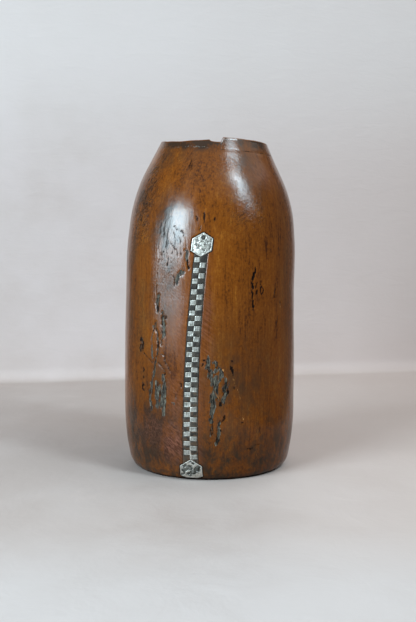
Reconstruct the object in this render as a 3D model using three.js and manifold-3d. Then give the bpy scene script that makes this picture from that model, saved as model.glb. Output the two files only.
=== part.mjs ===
// A carved wooden milk container. Its wall has cracked down one side, and the crack is laced shut
// with four strips of aluminium, sealed with pitch and ended by two nailed plates.
// Sizes are in millimetres and +Z is up. The origin is the middle of the foot, and the seam faces -Y.

import * as THREE from 'three';
import { mergeVertices } from 'three/addons/utils/BufferGeometryUtils.js';
import Module from 'manifold-3d';

const wasm = await Module();
wasm.setup();

const { clamp, degToRad, lerp, smoothstep } = THREE.MathUtils;

// Fit between pieces
const clearance = 0.3;
const cutPast = 2; // how far a cut runs past the face that it opens

// Vessel outside
const height = 260;
const footRadius = 60.8;
const bellyRadius = 69.2;
const bellyHeight = 62;
const rimRadius = 42.1;
const heelCurve = [ // height above the foot, and share of the way from foot to belly radius
  [5, 0.374],
  [14, 0.644],
  [35, 0.956],
];
const shoulderCurve = [ // depth below the rim, and share of the way from rim to belly radius
  [120, 0.968],
  [75, 0.928],
  [55, 0.837],
  [35, 0.621],
  [15, 0.268],
];
const footEdge = 0.8; // rounding where the foot meets the ground
const rimEdge = 0.8; // rounding of the lip, outside and inside
const aroundVessel = 60; // facets in a full turn

// Vessel inside
const wallThickness = 8.5;
const lipThickness = 6;
const lipDepth = 30; // the wall thins to the lip over this depth below the rim
const floorThickness = 10;
const insideCornerRadius = 9;

// Line cut round the neck
const neckLineDrop = 9.8; // depth below the rim
const neckLineWidth = 0.8;
const neckLineDepth = 0.4;

// The neck leans to the right and the rim slopes down that way
const neckShift = 4.4;
const leanStartHeight = 67;
const rimTilt = degToRad(2.5);
const tiltStartHeight = 185;
const tiltEndHeight = 245;

// Worn and chipped rim: angle round from the front, and depth lost, along each stretch
const wornStretch = [
  [-118, 0.2],
  [-87, 1.1],
  [-56, 3.0],
  [-35, 3.7],
  [-20, 3.0],
  [-6, 2.3],
  [7, 2.3],
];
const chip = [
  [-5.5, 2.4],
  [-4, 3.4],
  [2, 3.8],
  [6, 3.8],
  [8, 1.0],
];

// Seam: the line of the crack, as angles round from the front
const seamFootHeight = 15;
const seamTopHeight = 187;
const seamFootAngle = degToRad(-12.3);
const seamTopAngle = degToRad(-5.2);
const seamRows = 16; // facets along the seam

// End plates
const plateThickness = 1.2;
const plateProud = 0.3;
const topPlateHeight = 178.2; // of its middle
const topPlateRadius = 9.0; // to a corner of the hexagon
const footPlateHalfWidth = 8.6;
const footPlatePeak = 17.1;
const footPlateEaves = 11.8;
const footPlateSill = 3.8; // lower corners
const footPlateBottom = 2.2;

// Lacing strips
const stripCount = 4;
const stripThickness = 0.8;
const stripWidth = 3.25;
const stripProud = 0.1; // above the wood
const topReach = 4.6; // from the crack to the far edge of a stitch, at the top of the seam
const footReach = 5.5; // the same at the foot
const topStitchGap = 0.4; // between the top plate and the first stitch
const footStitchGap = 0.3; // between the last stitch and the foot plate
const tailLength = 2.6; // turned under inside the vessel at each end of a strip
const bendRadius = stripThickness / 2; // of the strip's middle, so it is folded tight

// Stitches, spread from the top plate down to the foot plate, to the left and right by turns
const topStitchHeight = topPlateHeight - topPlateRadius - topStitchGap - stripWidth / 2;
const lowestStitchHeight = footPlatePeak + footStitchGap + stripWidth / 2;
const stitchedLength = topStitchHeight - lowestStitchHeight;
const crowding = 0.05; // how much closer together than the average they lie at the foot
const closestLength = stitchedLength * (1 - crowding);
const mostStitches = Math.floor(closestLength / (stripWidth + clearance)) + 1;
const stitchesPerStrip = Math.floor(mostStitches / stripCount);
const stitchCount = stripCount * stitchesPerStrip;

// Crack and slits that the strips pass through
const slotWidth = stripThickness + 2 * clearance;
const slitHeight = stripWidth + 2 * clearance;
const crackFootHeight = floorThickness + 3;
const crackTopHeight = topPlateHeight - 3;

// Pitch in a shallow channel round the stitches
const channelDepth = stripThickness - stripProud + clearance;
const pitchBorder = 0.4; // pitch that shows outside the stitches
const pitchSunk = 0.1; // below the wood

// Pins, as places across the plate from the seam line, and heights from the plate's middle
const pinRadius = 0.7;
const pinLength = 5.5;
const pinPointLength = 1.5;
const pinDome = 0.3;
const pinFacets = 8;
const topPinPlaces = [
  [-3.9, -0.3],
  [2.2, 0.5],
  [2.1, -4.1],
];
const emptyHolePlace = [0.5, 5.1];
const footPlateMiddle = (footPlatePeak + footPlateBottom) / 2;
const footPinPlaces = [
  [-6.4, 1.6],
  [4.8, -1.9],
  [-1.5, -5.0],
];

const materials = {
  wood: new THREE.MeshStandardMaterial({ color: 0x7d4519, roughness: 0.35, metalness: 0 }),
  aluminium: new THREE.MeshStandardMaterial({ color: 0xb5b8b1, roughness: 0.45, metalness: 1 }),
  pitch: new THREE.MeshStandardMaterial({ color: 0x1f1813, roughness: 0.6, metalness: 0 }),
  iron: new THREE.MeshStandardMaterial({ color: 0x45403b, roughness: 0.6, metalness: 1 }),
};

// Stations of the outside: height and radius, from the foot up
const stations = [
  [0, footRadius],
  ...heelCurve.map(([z, share]) => [z, lerp(footRadius, bellyRadius, share)]),
  [bellyHeight, bellyRadius],
  ...shoulderCurve.map(([drop, share]) => [height - drop, lerp(rimRadius, bellyRadius, share)]),
  [height, rimRadius],
];
const steps = stations.slice(1).map(([z, r], i) => {
  const run = z - stations[i][0];
  return { run, slope: (r - stations[i][1]) / run };
});
const slopes = stations.map((_, i) => {
  if (i === 0 || i === steps.length) return steps[Math.min(i, steps.length - 1)].slope;
  const [below, above] = [steps[i - 1], steps[i]];
  return (below.slope * above.run + above.slope * below.run) / (below.run + above.run);
});

// Radius of the outside at a height, on a smooth curve through the stations
function outerRadius(z) {
  const level = clamp(z, 0, height);
  let i = 0;
  while (i < steps.length - 1 && level > stations[i + 1][0]) i += 1;
  const { run } = steps[i];
  const t = (level - stations[i][0]) / run;
  const rise = t * t * (3 - 2 * t);
  const bend = run * (t * (1 - t) ** 2 * slopes[i] - t * t * (1 - t) * slopes[i + 1]);
  return lerp(stations[i][1], stations[i + 1][1], rise) + bend;
}

// Radius of the inside at a height: the wall's thickness is measured square to the outside
function innerRadius(z) {
  const level = clamp(z, floorThickness, height);
  const slope = outerRadius(level + 0.5) - outerRadius(level - 0.5);
  const lip = smoothstep(level, height - lipDepth, height);
  const wall = lerp(wallThickness, lipThickness, lip) * Math.hypot(1, slope);
  const intoCorner = Math.max(0, floorThickness + insideCornerRadius - level);
  const corner = insideCornerRadius - Math.sqrt(insideCornerRadius ** 2 - intoCorner ** 2);
  return outerRadius(level) - wall - corner;
}

// Evenly spaced heights from one height to another, without the last
function heights(from, to, count) {
  return Array.from({ length: count }, (_, i) => lerp(from, to, i / count));
}

// Heights of the facets along the seam
const seamLevels = heights(footPlatePeak, topPlateHeight - topPlateRadius, seamRows).slice(1);

function reachAt(z) {
  return lerp(footReach, topReach, (z - lowestStitchHeight) / stitchedLength);
}

function channelHalfWidth(z) {
  return reachAt(z) + 2 * clearance + pitchBorder;
}

function stitchHeight(index) {
  const share = index / (stitchCount - 1);
  return topStitchHeight - stitchedLength * (share + crowding * share * (1 - share));
}

function stitchSide(index) {
  return index % 2 === 0 ? -1 : 1;
}

function seamAngle(z) {
  const t = (z - seamFootHeight) / (seamTopHeight - seamFootHeight);
  return lerp(seamFootAngle, seamTopAngle, t * t);
}

// Angles are measured from the front, -Y, round towards +X
function polarPoint(angle, radius, z) {
  return new THREE.Vector3(radius * Math.sin(angle), -radius * Math.cos(angle), z);
}

// A point in the wall by its distance across from the seam line, measured on the outside
function seamPoint(across, radius, z) {
  return polarPoint(seamAngle(z) + across / outerRadius(z), radius, z);
}

// The lean of the neck and the slope of the rim, given to every piece alike
function lean(point) {
  const rise = Math.max(0, (point.z - leanStartHeight) / (height - leanStartHeight));
  const tilt = Math.tan(rimTilt) * smoothstep(point.z, tiltStartHeight, tiltEndHeight);
  return point.set(point.x + neckShift * rise * rise, point.y, point.z - tilt * point.x);
}

function leanGeometry(geometry) {
  const position = geometry.getAttribute('position');
  const point = new THREE.Vector3();
  for (let i = 0; i < position.count; i += 1) {
    lean(point.fromBufferAttribute(position, i));
    position.setXYZ(i, point.x, point.y, point.z);
  }
  geometry.computeVertexNormals();
  return geometry;
}

function geometryFrom(points, indices) {
  const geometry = new THREE.BufferGeometry();
  geometry.setFromPoints(points);
  geometry.setIndex(indices);
  return geometry;
}

// Solids for joining and cutting
function toSolid(geometry) {
  const bare = geometry.clone();
  bare.deleteAttribute('normal');
  bare.deleteAttribute('uv');
  const merged = mergeVertices(bare, 1e-5);
  return new wasm.Manifold(new wasm.Mesh({
    numProp: 3,
    vertProperties: new Float32Array(merged.getAttribute('position').array),
    triVerts: new Uint32Array(merged.index.array),
  }));
}

function toGeometry(solid) {
  const mesh = solid.getMesh();
  const geometry = new THREE.BufferGeometry();
  geometry.setAttribute('position', new THREE.BufferAttribute(mesh.vertProperties, 3));
  geometry.setIndex(new THREE.BufferAttribute(mesh.triVerts, 1));
  return geometry;
}

function cut(solid, cutters) {
  return cutters.reduce((rest, cutter) => rest.subtract(toSolid(cutter)), solid);
}

// A closed slab that follows the wall. Each column has its place across, which may vary with the
// height, and a low and a high end. The levels are the heights between them where it bends, and
// the faces are radii at a height.
function wallSlab({ columns, levels = [], outerFace, innerFace, pointAt = seamPoint }) {
  const points = [];
  [outerFace, innerFace].forEach((face) => {
    columns.forEach(({ across, low, high }) => {
      [low, ...levels, high].forEach((z) => points.push(pointAt(across(z), face(z), z)));
    });
  });
  const rows = levels.length + 1;
  const back = columns.length * (rows + 1);
  const at = (column, row) => column * (rows + 1) + row;
  const indices = [];
  const quad = (a, b, c, d) => indices.push(a, b, c, a, c, d);
  const side = (a, b) => quad(b, a, a + back, b + back);
  for (let column = 0; column < columns.length - 1; column += 1) {
    for (let row = 0; row < rows; row += 1) {
      const corners = [
        at(column, row),
        at(column + 1, row),
        at(column + 1, row + 1),
        at(column, row + 1),
      ];
      quad(...corners);
      quad(...corners.map((corner) => corner + back).reverse());
    }
    side(at(column, 0), at(column + 1, 0));
    side(at(column + 1, rows), at(column, rows));
  }
  for (let row = 0; row < rows; row += 1) {
    side(at(0, row + 1), at(0, row));
    side(at(columns.length - 1, row), at(columns.length - 1, row + 1));
  }
  return geometryFrom(points, indices);
}

// Vessel, turned in one piece before it is cut
function turnedVessel() {
  const neckLine = height - neckLineDrop;
  const shoulderStart = height - shoulderCurve[1][0];
  const outsideHeights = [
    ...heights(footEdge, heelCurve[1][0], 4),
    ...heights(heelCurve[1][0], bellyHeight, 6),
    ...heights(bellyHeight, shoulderStart, 6),
    ...heights(shoulderStart, neckLine - neckLineWidth / 2, 8),
  ];
  const insideHeights = [
    ...heights(height - rimEdge, height - lipDepth, 2),
    ...heights(height - lipDepth, shoulderStart, 4),
    ...heights(shoulderStart, bellyHeight, 7),
    ...heights(bellyHeight, floorThickness + insideCornerRadius, 6),
    ...heights(floorThickness + insideCornerRadius, floorThickness, 4),
  ];
  const outside = (z) => [outerRadius(z), z];
  const outline = [
    [0, 0],
    [outerRadius(0) - footEdge, 0],
    ...outsideHeights.map(outside),
    outside(neckLine - neckLineWidth / 2),
    [outerRadius(neckLine) - neckLineDepth, neckLine],
    outside(neckLine + neckLineWidth / 2),
    outside((neckLine + height) / 2),
    outside(height - rimEdge),
    [rimRadius - rimEdge, height],
    [innerRadius(height) + rimEdge, height],
    ...insideHeights.map((z) => [innerRadius(z), z]),
    [innerRadius(floorThickness), floorThickness],
    [0, floorThickness],
  ];
  const profile = outline.map(([radius, z]) => new THREE.Vector2(radius, z));
  return new THREE.LatheGeometry(profile, aroundVessel).rotateX(Math.PI / 2);
}

// A cut down into the rim, from a list of angles and depths
function rimCut(stretch) {
  return wallSlab({
    columns: stretch.map(([angle, depth]) => ({
      across: () => degToRad(angle),
      low: height - depth,
      high: height + cutPast,
    })),
    outerFace: () => rimRadius + 3 * cutPast,
    innerFace: () => innerRadius(height) - 3 * cutPast,
    pointAt: polarPoint,
  });
}

// A slot right through the wall
function wallSlot(across, low, high, levels = []) {
  return wallSlab({
    columns: [-1, 1].map((edge) => ({
      across: () => across + edge * slotWidth / 2,
      low,
      high,
    })),
    levels,
    outerFace: (z) => outerRadius(z) + cutPast,
    innerFace: (z) => innerRadius(z) - cutPast,
  });
}

function slitAcross(index) {
  return stitchSide(index) * (reachAt(stitchHeight(index)) - stripThickness / 2);
}

function slits() {
  return Array.from({ length: stitchCount }, (_, index) => {
    const z = stitchHeight(index);
    return wallSlot(slitAcross(index), z - slitHeight / 2, z + slitHeight / 2);
  });
}

// Outline of each end plate: its lower and upper edge at a distance across from its middle
const topPlate = {
  halfWidth: topPlateRadius * Math.cos(Math.PI / 6),
  low: (across) => topPlateHeight - topPlateRadius + Math.abs(across) * Math.tan(Math.PI / 6),
  high: (across) => topPlateHeight + topPlateRadius - Math.abs(across) * Math.tan(Math.PI / 6),
  middle: topPlateHeight,
  levels: [topPlateHeight - topPlateRadius / 4, topPlateHeight + topPlateRadius / 4],
};
const footPlate = {
  halfWidth: footPlateHalfWidth,
  low: (across) => lerp(footPlateBottom, footPlateSill,
    clamp((2 * Math.abs(across)) / footPlateHalfWidth - 1, 0, 1)),
  high: (across) => lerp(footPlatePeak, footPlateEaves, Math.abs(across) / footPlateHalfWidth),
  middle: footPlateMiddle,
  levels: heights(footPlateSill, footPlateEaves, 3).slice(1),
};
const slantGap = clearance / Math.cos(Math.PI / 6);

// A plate, or with a gap all round it the pocket that it lies in
function plateSlab(plate, gap, outerFace, innerFace) {
  const grown = (plate.halfWidth + gap) / plate.halfWidth;
  return wallSlab({
    columns: [-1, -0.5, 0, 0.5, 1].map((share) => {
      const across = share * plate.halfWidth;
      const verticalGap = gap * (slantGap / clearance);
      return {
        across: () => across * grown,
        low: plate.low(across) - verticalGap,
        high: plate.high(across) + verticalGap,
      };
    }),
    levels: plate.levels,
    outerFace,
    innerFace,
  });
}

function platePocket(plate) {
  const depth = plateThickness - plateProud + clearance;
  return plateSlab(plate, clearance,
    (z) => outerRadius(z) + cutPast, (z) => outerRadius(z) - depth);
}

function channelColumns(inset, endGap) {
  return [-1, 0, 1].map((share) => ({
    across: (z) => share * (channelHalfWidth(z) - inset),
    low: footPlate.high(share * channelHalfWidth(footPlatePeak)) + endGap,
    high: topPlate.low(share * channelHalfWidth(topPlateHeight)) - endGap,
  }));
}

function channel() {
  return wallSlab({
    columns: channelColumns(0, -cutPast),
    levels: seamLevels,
    outerFace: (z) => outerRadius(z) + cutPast,
    innerFace: (z) => outerRadius(z) - channelDepth,
  });
}

// A straight round bar standing in the wall, its outer end at the plate's face
function wallBar(radius, inLength, outLength) {
  const bar = new THREE.CylinderGeometry(radius, radius, inLength + outLength, pinFacets);
  return bar.translate(0, (outLength - inLength) / 2, 0);
}

function faceWall(object, across, z) {
  const outward = seamPoint(across, 1, z).setZ(0);
  object.position.copy(seamPoint(across, outerRadius(z) + plateProud, z));
  object.quaternion.setFromUnitVectors(new THREE.Vector3(0, 1, 0), outward);
  object.updateMatrix();
  return object;
}

function pinHole(plate, [across, rise]) {
  const hole = wallBar(pinRadius + clearance, pinLength + clearance, cutPast);
  const place = faceWall(new THREE.Object3D(), across, plate.middle + rise);
  return hole.applyMatrix4(place.matrix);
}

const pinHoles = {
  top: [...topPinPlaces, emptyHolePlace].map((place) => pinHole(topPlate, place)),
  foot: footPinPlaces.map((place) => pinHole(footPlate, place)),
};

function vesselBody() {
  const cutters = [
    rimCut(wornStretch),
    rimCut(chip),
    channel(),
    wallSlot(0, crackFootHeight, crackTopHeight, seamLevels),
    ...slits(),
    platePocket(topPlate),
    platePocket(footPlate),
    ...pinHoles.top,
    ...pinHoles.foot,
  ];
  return toGeometry(cut(toSolid(turnedVessel()), cutters));
}

function endPlate(plate, holes) {
  const slab = plateSlab(plate, 0,
    (z) => outerRadius(z) + plateProud, (z) => outerRadius(z) + plateProud - plateThickness);
  return toGeometry(cut(toSolid(slab), holes));
}

// Lacing strip. Its middle line runs in a plane across the wall, up through the crack, over to a
// slit, down through it and back inside to the crack at the next stitch.
const outsideLevel = (z) => outerRadius(z) + stripProud - stripThickness / 2;
const facetDip = 1 - Math.cos(Math.PI / aroundVessel); // share of its radius that a facet cuts off
const insideLevel = (z) => innerRadius(z) * (1 - facetDip) - clearance - stripThickness / 2;

function stripCorners(first) {
  const corners = [];
  const last = first + stitchesPerStrip - 1;
  corners.push({ across: -stitchSide(first) * tailLength, level: insideLevel, z: stitchHeight(first) });
  for (let index = first; index <= last; index += 1) {
    const z = stitchHeight(index);
    corners.push({ across: 0, level: insideLevel, z });
    corners.push({ across: 0, level: outsideLevel, z });
    corners.push({ across: slitAcross(index), level: outsideLevel, z });
    corners.push({ across: slitAcross(index), level: insideLevel, z });
  }
  corners.push({
    across: slitAcross(last) - stitchSide(last) * tailLength,
    level: insideLevel,
    z: stitchHeight(last),
  });
  return corners;
}

const planar = ({ across, level, z, lift = 0 }) => new THREE.Vector2(across, level(z) + lift);

// Each corner becomes two points, one on each side of its bend
function bendCorners(corners) {
  const bent = [corners[0]];
  for (let i = 1; i < corners.length - 1; i += 1) {
    const here = planar(corners[i]);
    [corners[i - 1], corners[i + 1]].forEach((neighbour) => {
      const towards = planar({ ...neighbour, z: corners[i].z }).sub(here).setLength(bendRadius);
      bent.push({
        ...corners[i],
        across: corners[i].across + towards.x,
        lift: towards.y,
      });
    });
  }
  bent.push(corners[corners.length - 1]);
  return bent;
}

// Half the strip's thickness, square to its middle line, lengthened where the line turns
function halfThickness(path, i) {
  const here = planar(path[i]);
  const before = planar(path[Math.max(i - 1, 0)]);
  const after = planar(path[Math.min(i + 1, path.length - 1)]);
  const coming = here.clone().sub(before);
  const going = after.clone().sub(here);
  if (i === 0) coming.copy(going);
  if (i === path.length - 1) going.copy(coming);
  coming.normalize();
  going.normalize();
  const mitre = coming.clone().add(going).normalize();
  return new THREE.Vector2(-mitre.y, mitre.x).multiplyScalar(stripThickness / 2 / mitre.dot(going));
}

function lacingStrip(first) {
  const path = bendCorners(stripCorners(first));
  const points = [];
  path.forEach(({ across, level, z, lift = 0 }, i) => {
    const half = halfThickness(path, i);
    [[1, -1], [1, 1], [-1, 1], [-1, -1]].forEach(([face, edge]) => {
      const edgeHeight = z + edge * stripWidth / 2;
      const radius = level(edgeHeight) + lift + face * half.y;
      points.push(seamPoint(across + face * half.x, radius, edgeHeight));
    });
  });
  const indices = [];
  const quad = (a, b, c, d) => indices.push(a, b, c, a, c, d);
  for (let i = 0; i < path.length - 1; i += 1) {
    for (let corner = 0; corner < 4; corner += 1) {
      const next = (corner + 1) % 4;
      quad(4 * i + corner, 4 * (i + 1) + corner, 4 * (i + 1) + next, 4 * i + next);
    }
  }
  const end = 4 * (path.length - 1);
  quad(0, 1, 2, 3);
  quad(end + 3, end + 2, end + 1, end);
  return geometryFrom(points, indices);
}

// Pitch that fills the channel round the stitches
function stitchWindow(index) {
  const z = stitchHeight(index);
  const side = stitchSide(index);
  const near = -side * (stripThickness / 2 + clearance);
  const far = side * (reachAt(z) + clearance);
  return wallSlab({
    columns: [near, far].sort((a, b) => a - b).map((across) => ({
      across: () => across,
      low: z - slitHeight / 2,
      high: z + slitHeight / 2,
    })),
    outerFace: (level) => outerRadius(level) + cutPast,
    innerFace: (level) => outerRadius(level) - channelDepth - cutPast,
  });
}

function pitchSeal() {
  const slab = wallSlab({
    columns: channelColumns(clearance, slantGap),
    levels: seamLevels,
    outerFace: (z) => outerRadius(z) - pitchSunk,
    innerFace: (z) => outerRadius(z) - channelDepth + clearance,
  });
  const windows = Array.from({ length: stitchCount }, (_, index) => stitchWindow(index));
  return toGeometry(cut(toSolid(slab), windows));
}

// A headless pin: a low dome, a shank and a point, along +Y from its outer end
function pinGeometry() {
  const profile = [
    [0, pinDome],
    [pinRadius * 0.6, pinDome * 0.7],
    [pinRadius, 0],
    [pinRadius, pinPointLength - pinLength],
    [0, -pinLength],
  ].reverse();
  return new THREE.LatheGeometry(profile.map(([radius, y]) => new THREE.Vector2(radius, y)), pinFacets);
}

// Assembly
const container = new THREE.Group();

function addPiece(name, geometry, material) {
  const mesh = new THREE.Mesh(geometry, material);
  mesh.name = name;
  container.add(mesh);
  return mesh;
}

function addPins(name, plate, places) {
  places.forEach(([across, rise], i) => {
    const pin = addPiece(`${name}_${i + 1}`, pinGeometry(), materials.iron);
    lean(faceWall(pin, across, plate.middle + rise).position);
  });
}

addPiece('vessel_body', leanGeometry(vesselBody()), materials.wood);
addPiece('pitch_seal', leanGeometry(pitchSeal()), materials.pitch);
for (let strip = 0; strip < stripCount; strip += 1) {
  const geometry = leanGeometry(lacingStrip(strip * stitchesPerStrip));
  addPiece(`lacing_strip_${strip + 1}`, geometry, materials.aluminium);
}
addPiece('top_end_plate', leanGeometry(endPlate(topPlate, pinHoles.top)), materials.aluminium);
addPiece('foot_end_plate', leanGeometry(endPlate(footPlate, pinHoles.foot)), materials.aluminium);
addPins('top_plate_pin', topPlate, topPinPlaces);
addPins('foot_plate_pin', footPlate, footPinPlaces);

export default container;
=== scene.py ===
"""Looks of a carved wooden milk container with a laced crack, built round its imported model.

The geometry below is worked out in millimetres, in the model's frame: +Z up, the seam faces -Y.
Meshes are scaled to metres when they are made.
"""

import math

import bpy
import numpy as np
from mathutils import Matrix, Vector


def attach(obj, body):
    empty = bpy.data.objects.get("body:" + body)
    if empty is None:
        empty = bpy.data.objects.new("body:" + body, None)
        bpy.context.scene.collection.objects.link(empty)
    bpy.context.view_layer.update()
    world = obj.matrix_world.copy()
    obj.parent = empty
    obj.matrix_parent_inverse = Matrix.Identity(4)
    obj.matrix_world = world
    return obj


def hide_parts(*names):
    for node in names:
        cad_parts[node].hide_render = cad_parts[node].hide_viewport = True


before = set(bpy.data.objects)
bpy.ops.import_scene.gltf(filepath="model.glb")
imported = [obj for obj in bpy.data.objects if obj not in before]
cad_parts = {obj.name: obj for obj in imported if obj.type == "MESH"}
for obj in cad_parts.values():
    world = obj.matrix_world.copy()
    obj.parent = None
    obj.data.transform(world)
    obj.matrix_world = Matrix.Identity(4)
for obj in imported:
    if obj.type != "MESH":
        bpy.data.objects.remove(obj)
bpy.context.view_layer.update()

MM = 0.001

# Vessel, as in the model
HEIGHT = 260
FOOT_RADIUS = 60.8
BELLY_RADIUS = 69.2
BELLY_HEIGHT = 62
RIM_RADIUS = 42.1
HEEL_CURVE = [(5, 0.374), (14, 0.644), (35, 0.956)]
SHOULDER_CURVE = [(120, 0.968), (75, 0.928), (55, 0.837), (35, 0.621), (15, 0.268)]
WALL = 8.5
LIP_WALL = 6
LIP_DEPTH = 30
FLOOR = 10
INSIDE_CORNER = 9
NECK_LINE_DROP = 9.8
NECK_LINE_DEPTH = 0.18
NECK_LINE_WIDTH = 0.7
NECK_SHIFT = 4.4
LEAN_START = 67
RIM_TILT = math.radians(2.5)
TILT_SPAN = (185, 245)
WORN_STRETCH = [(-118, 0.2), (-87, 1.1), (-56, 3.0), (-35, 3.7), (-20, 3.0), (-6, 2.3), (7, 2.3)]
CHIP = [(-5.5, 2.4), (-4, 3.4), (2, 3.8), (6, 3.8), (8, 1.0)]

# Seam, plates and strips, as in the model
CLEARANCE = 0.3
SEAM_SPAN = (15, 187)
SEAM_ANGLES = (math.radians(-12.3), math.radians(-5.2))
PLATE_THICKNESS = 1.2
PLATE_PROUD = 0.3
TOP_PLATE_HEIGHT = 178.2
TOP_PLATE_RADIUS = 9.0
FOOT_PLATE_HALF_WIDTH = 8.6
FOOT_PLATE_PEAK = 17.1
FOOT_PLATE_EAVES = 11.8
FOOT_PLATE_SILL = 3.8
FOOT_PLATE_BOTTOM = 2.2
STRIP_COUNT = 4
STITCH_COUNT = 40
STRIP_THICKNESS = 0.8
STRIP_WIDTH = 3.25
STRIP_PROUD = 0.1
REACH_SPAN = (5.5, 4.6)
TAIL_LENGTH = 2.6
TOP_GAP = 0.4  # between the top plate and the first stitch
FOOT_GAP = 0.3  # between the last stitch and the foot plate
TOP_STITCH = TOP_PLATE_HEIGHT - TOP_PLATE_RADIUS - TOP_GAP - STRIP_WIDTH / 2
LOWEST_STITCH = FOOT_PLATE_PEAK + FOOT_GAP + STRIP_WIDTH / 2
CROWDING = 0.05  # how much closer together the stitches lie at the foot
SLOT_WIDTH = STRIP_THICKNESS + 2 * CLEARANCE
SLIT_HEIGHT = STRIP_WIDTH + 2 * CLEARANCE
CRACK_SPAN = (FLOOR + 3, TOP_PLATE_HEIGHT - 3)
CHANNEL_DEPTH = STRIP_THICKNESS - STRIP_PROUD + CLEARANCE
CHANNEL_MARGIN = 0.45  # less than in the model, where the pitch needs its gaps
PITCH_SUNK = 0.1
PIN_RADIUS = 0.7
PIN_LENGTH = 5.5
TOP_PINS = [(-3.9, -0.3), (2.2, 0.5), (2.1, -4.1)]
FOOT_PINS = [(-6.4, 1.6), (4.8, -1.9), (-1.5, -5.0)]
EMPTY_HOLE = (0.5, 5.1)
FOOT_PLATE_MIDDLE = (FOOT_PLATE_PEAK + FOOT_PLATE_BOTTOM) / 2

# dark stains on the foot plate: across, height and radius
FOOT_BLOTS = [
    (-0.4, 15.9, 1.0),
    (2.9, 14.9, 1.2),
    (-5.0, 12.6, 1.3),
    (-1.3, 10.7, 1.6),
    (4.7, 9.3, 1.6),
    (6.3, 12.0, 1.0),
    (-5.3, 8.6, 1.2),
    (1.7, 7.0, 1.4),
    (-2.2, 5.6, 1.0),
]


# Numbers

def lerp(a, b, t):
    return a + (b - a) * t


def smooth(t):
    t = np.clip(t, 0, 1)
    return t * t * (3 - 2 * t)


def smoothstep(x, low, high):
    return smooth((x - low) / (high - low))


class Noise:
    """Gradient noise in space, from -1 to 1, the same for the same seed."""

    def __init__(self, seed):
        rng = np.random.default_rng(seed)
        self.order = np.concatenate([rng.permutation(256)] * 2)
        ways = rng.normal(size=(256, 3))
        self.ways = ways / np.linalg.norm(ways, axis=1, keepdims=True)

    def at(self, points):
        points = np.asarray(points, float)
        cell = np.floor(points).astype(int)
        inside = points - cell
        share = inside**3 * (inside * (inside * 6 - 15) + 10)
        total = np.zeros(points.shape[:-1])
        for corner in np.ndindex(2, 2, 2):
            corner = np.array(corner)
            x, y, z = np.moveaxis((cell + corner) & 255, -1, 0)
            way = self.ways[self.order[self.order[self.order[x] + y] + z]]
            weight = np.prod(np.where(corner, share, 1 - share), axis=-1)
            total += weight * np.sum(way * (inside - corner), axis=-1)
        return total * 1.5

    def layers(self, points, count=3):
        """Several sizes of the noise added up, each half as large and half as strong."""
        points = np.asarray(points, float)
        return sum(self.at(points * 2**i + 17.3 * i) / 2**i for i in range(count))


def scaled(points, across, along):
    """Points squeezed so that noise on them has a feature size across and along the grain."""
    return np.asarray(points) / np.array([across, across, along])


# Shape of the vessel

STATIONS = np.array(
    [(0, FOOT_RADIUS)]
    + [(z, lerp(FOOT_RADIUS, BELLY_RADIUS, share)) for z, share in HEEL_CURVE]
    + [(BELLY_HEIGHT, BELLY_RADIUS)]
    + [(HEIGHT - drop, lerp(RIM_RADIUS, BELLY_RADIUS, share)) for drop, share in SHOULDER_CURVE]
    + [(HEIGHT, RIM_RADIUS)]
)
RUNS, STEP_RISES = np.diff(STATIONS, axis=0).T
STEP_SLOPES = STEP_RISES / RUNS
MIDDLE_SLOPES = (STEP_SLOPES[:-1] * RUNS[1:] + STEP_SLOPES[1:] * RUNS[:-1]) / (RUNS[:-1] + RUNS[1:])
NODE_SLOPES = np.concatenate([STEP_SLOPES[:1], MIDDLE_SLOPES, STEP_SLOPES[-1:]])


def outer_radius(z):
    """Radius of the outside at a height, on a smooth curve through the stations."""
    level = np.clip(z, 0, HEIGHT)
    i = np.clip(np.searchsorted(STATIONS[:, 0], level, side="right") - 1, 0, len(RUNS) - 1)
    run = RUNS[i]
    t = (level - STATIONS[i, 0]) / run
    bend = run * (t * (1 - t) ** 2 * NODE_SLOPES[i] - t * t * (1 - t) * NODE_SLOPES[i + 1])
    return lerp(STATIONS[i, 1], STATIONS[i + 1, 1], t * t * (3 - 2 * t)) + bend


def inner_radius(z):
    level = np.clip(z, FLOOR, HEIGHT)
    slope = outer_radius(level + 0.5) - outer_radius(level - 0.5)
    wall = lerp(WALL, LIP_WALL, smoothstep(level, HEIGHT - LIP_DEPTH, HEIGHT)) * np.hypot(1, slope)
    into_corner = np.maximum(0, FLOOR + INSIDE_CORNER - level)
    corner = INSIDE_CORNER - np.sqrt(INSIDE_CORNER**2 - into_corner**2)
    return outer_radius(level) - wall - corner


def reach_at(z):
    return lerp(*REACH_SPAN, (z - LOWEST_STITCH) / (TOP_STITCH - LOWEST_STITCH))


def seam_angle(z):
    t = (z - SEAM_SPAN[0]) / (SEAM_SPAN[1] - SEAM_SPAN[0])
    return lerp(*SEAM_ANGLES, t * t)


def stitch_height(index):
    share = index / (STITCH_COUNT - 1)
    return lerp(TOP_STITCH, LOWEST_STITCH, share + CROWDING * share * (1 - share))


def stitch_side(index):
    return -1 if index % 2 == 0 else 1


def leaned(x, y, z):
    """The lean of the neck and the slope of the rim, given to every piece alike."""
    rise = np.maximum(0, (z - LEAN_START) / (HEIGHT - LEAN_START))
    tilt = math.tan(RIM_TILT) * smoothstep(z, *TILT_SPAN)
    return np.stack([x + NECK_SHIFT * rise * rise, y + 0 * z, z - tilt * x], axis=-1)


def polar_point(angle, radius, z):
    """Angles are measured from the front, -Y, round towards +X."""
    return leaned(radius * np.sin(angle), -radius * np.cos(angle), z)


def seam_point(across, radius, z):
    """A point in the wall by its distance across from the seam line, measured on the outside."""
    return polar_point(seam_angle(z) + across / outer_radius(z), radius, z)


# Meshes

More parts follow.
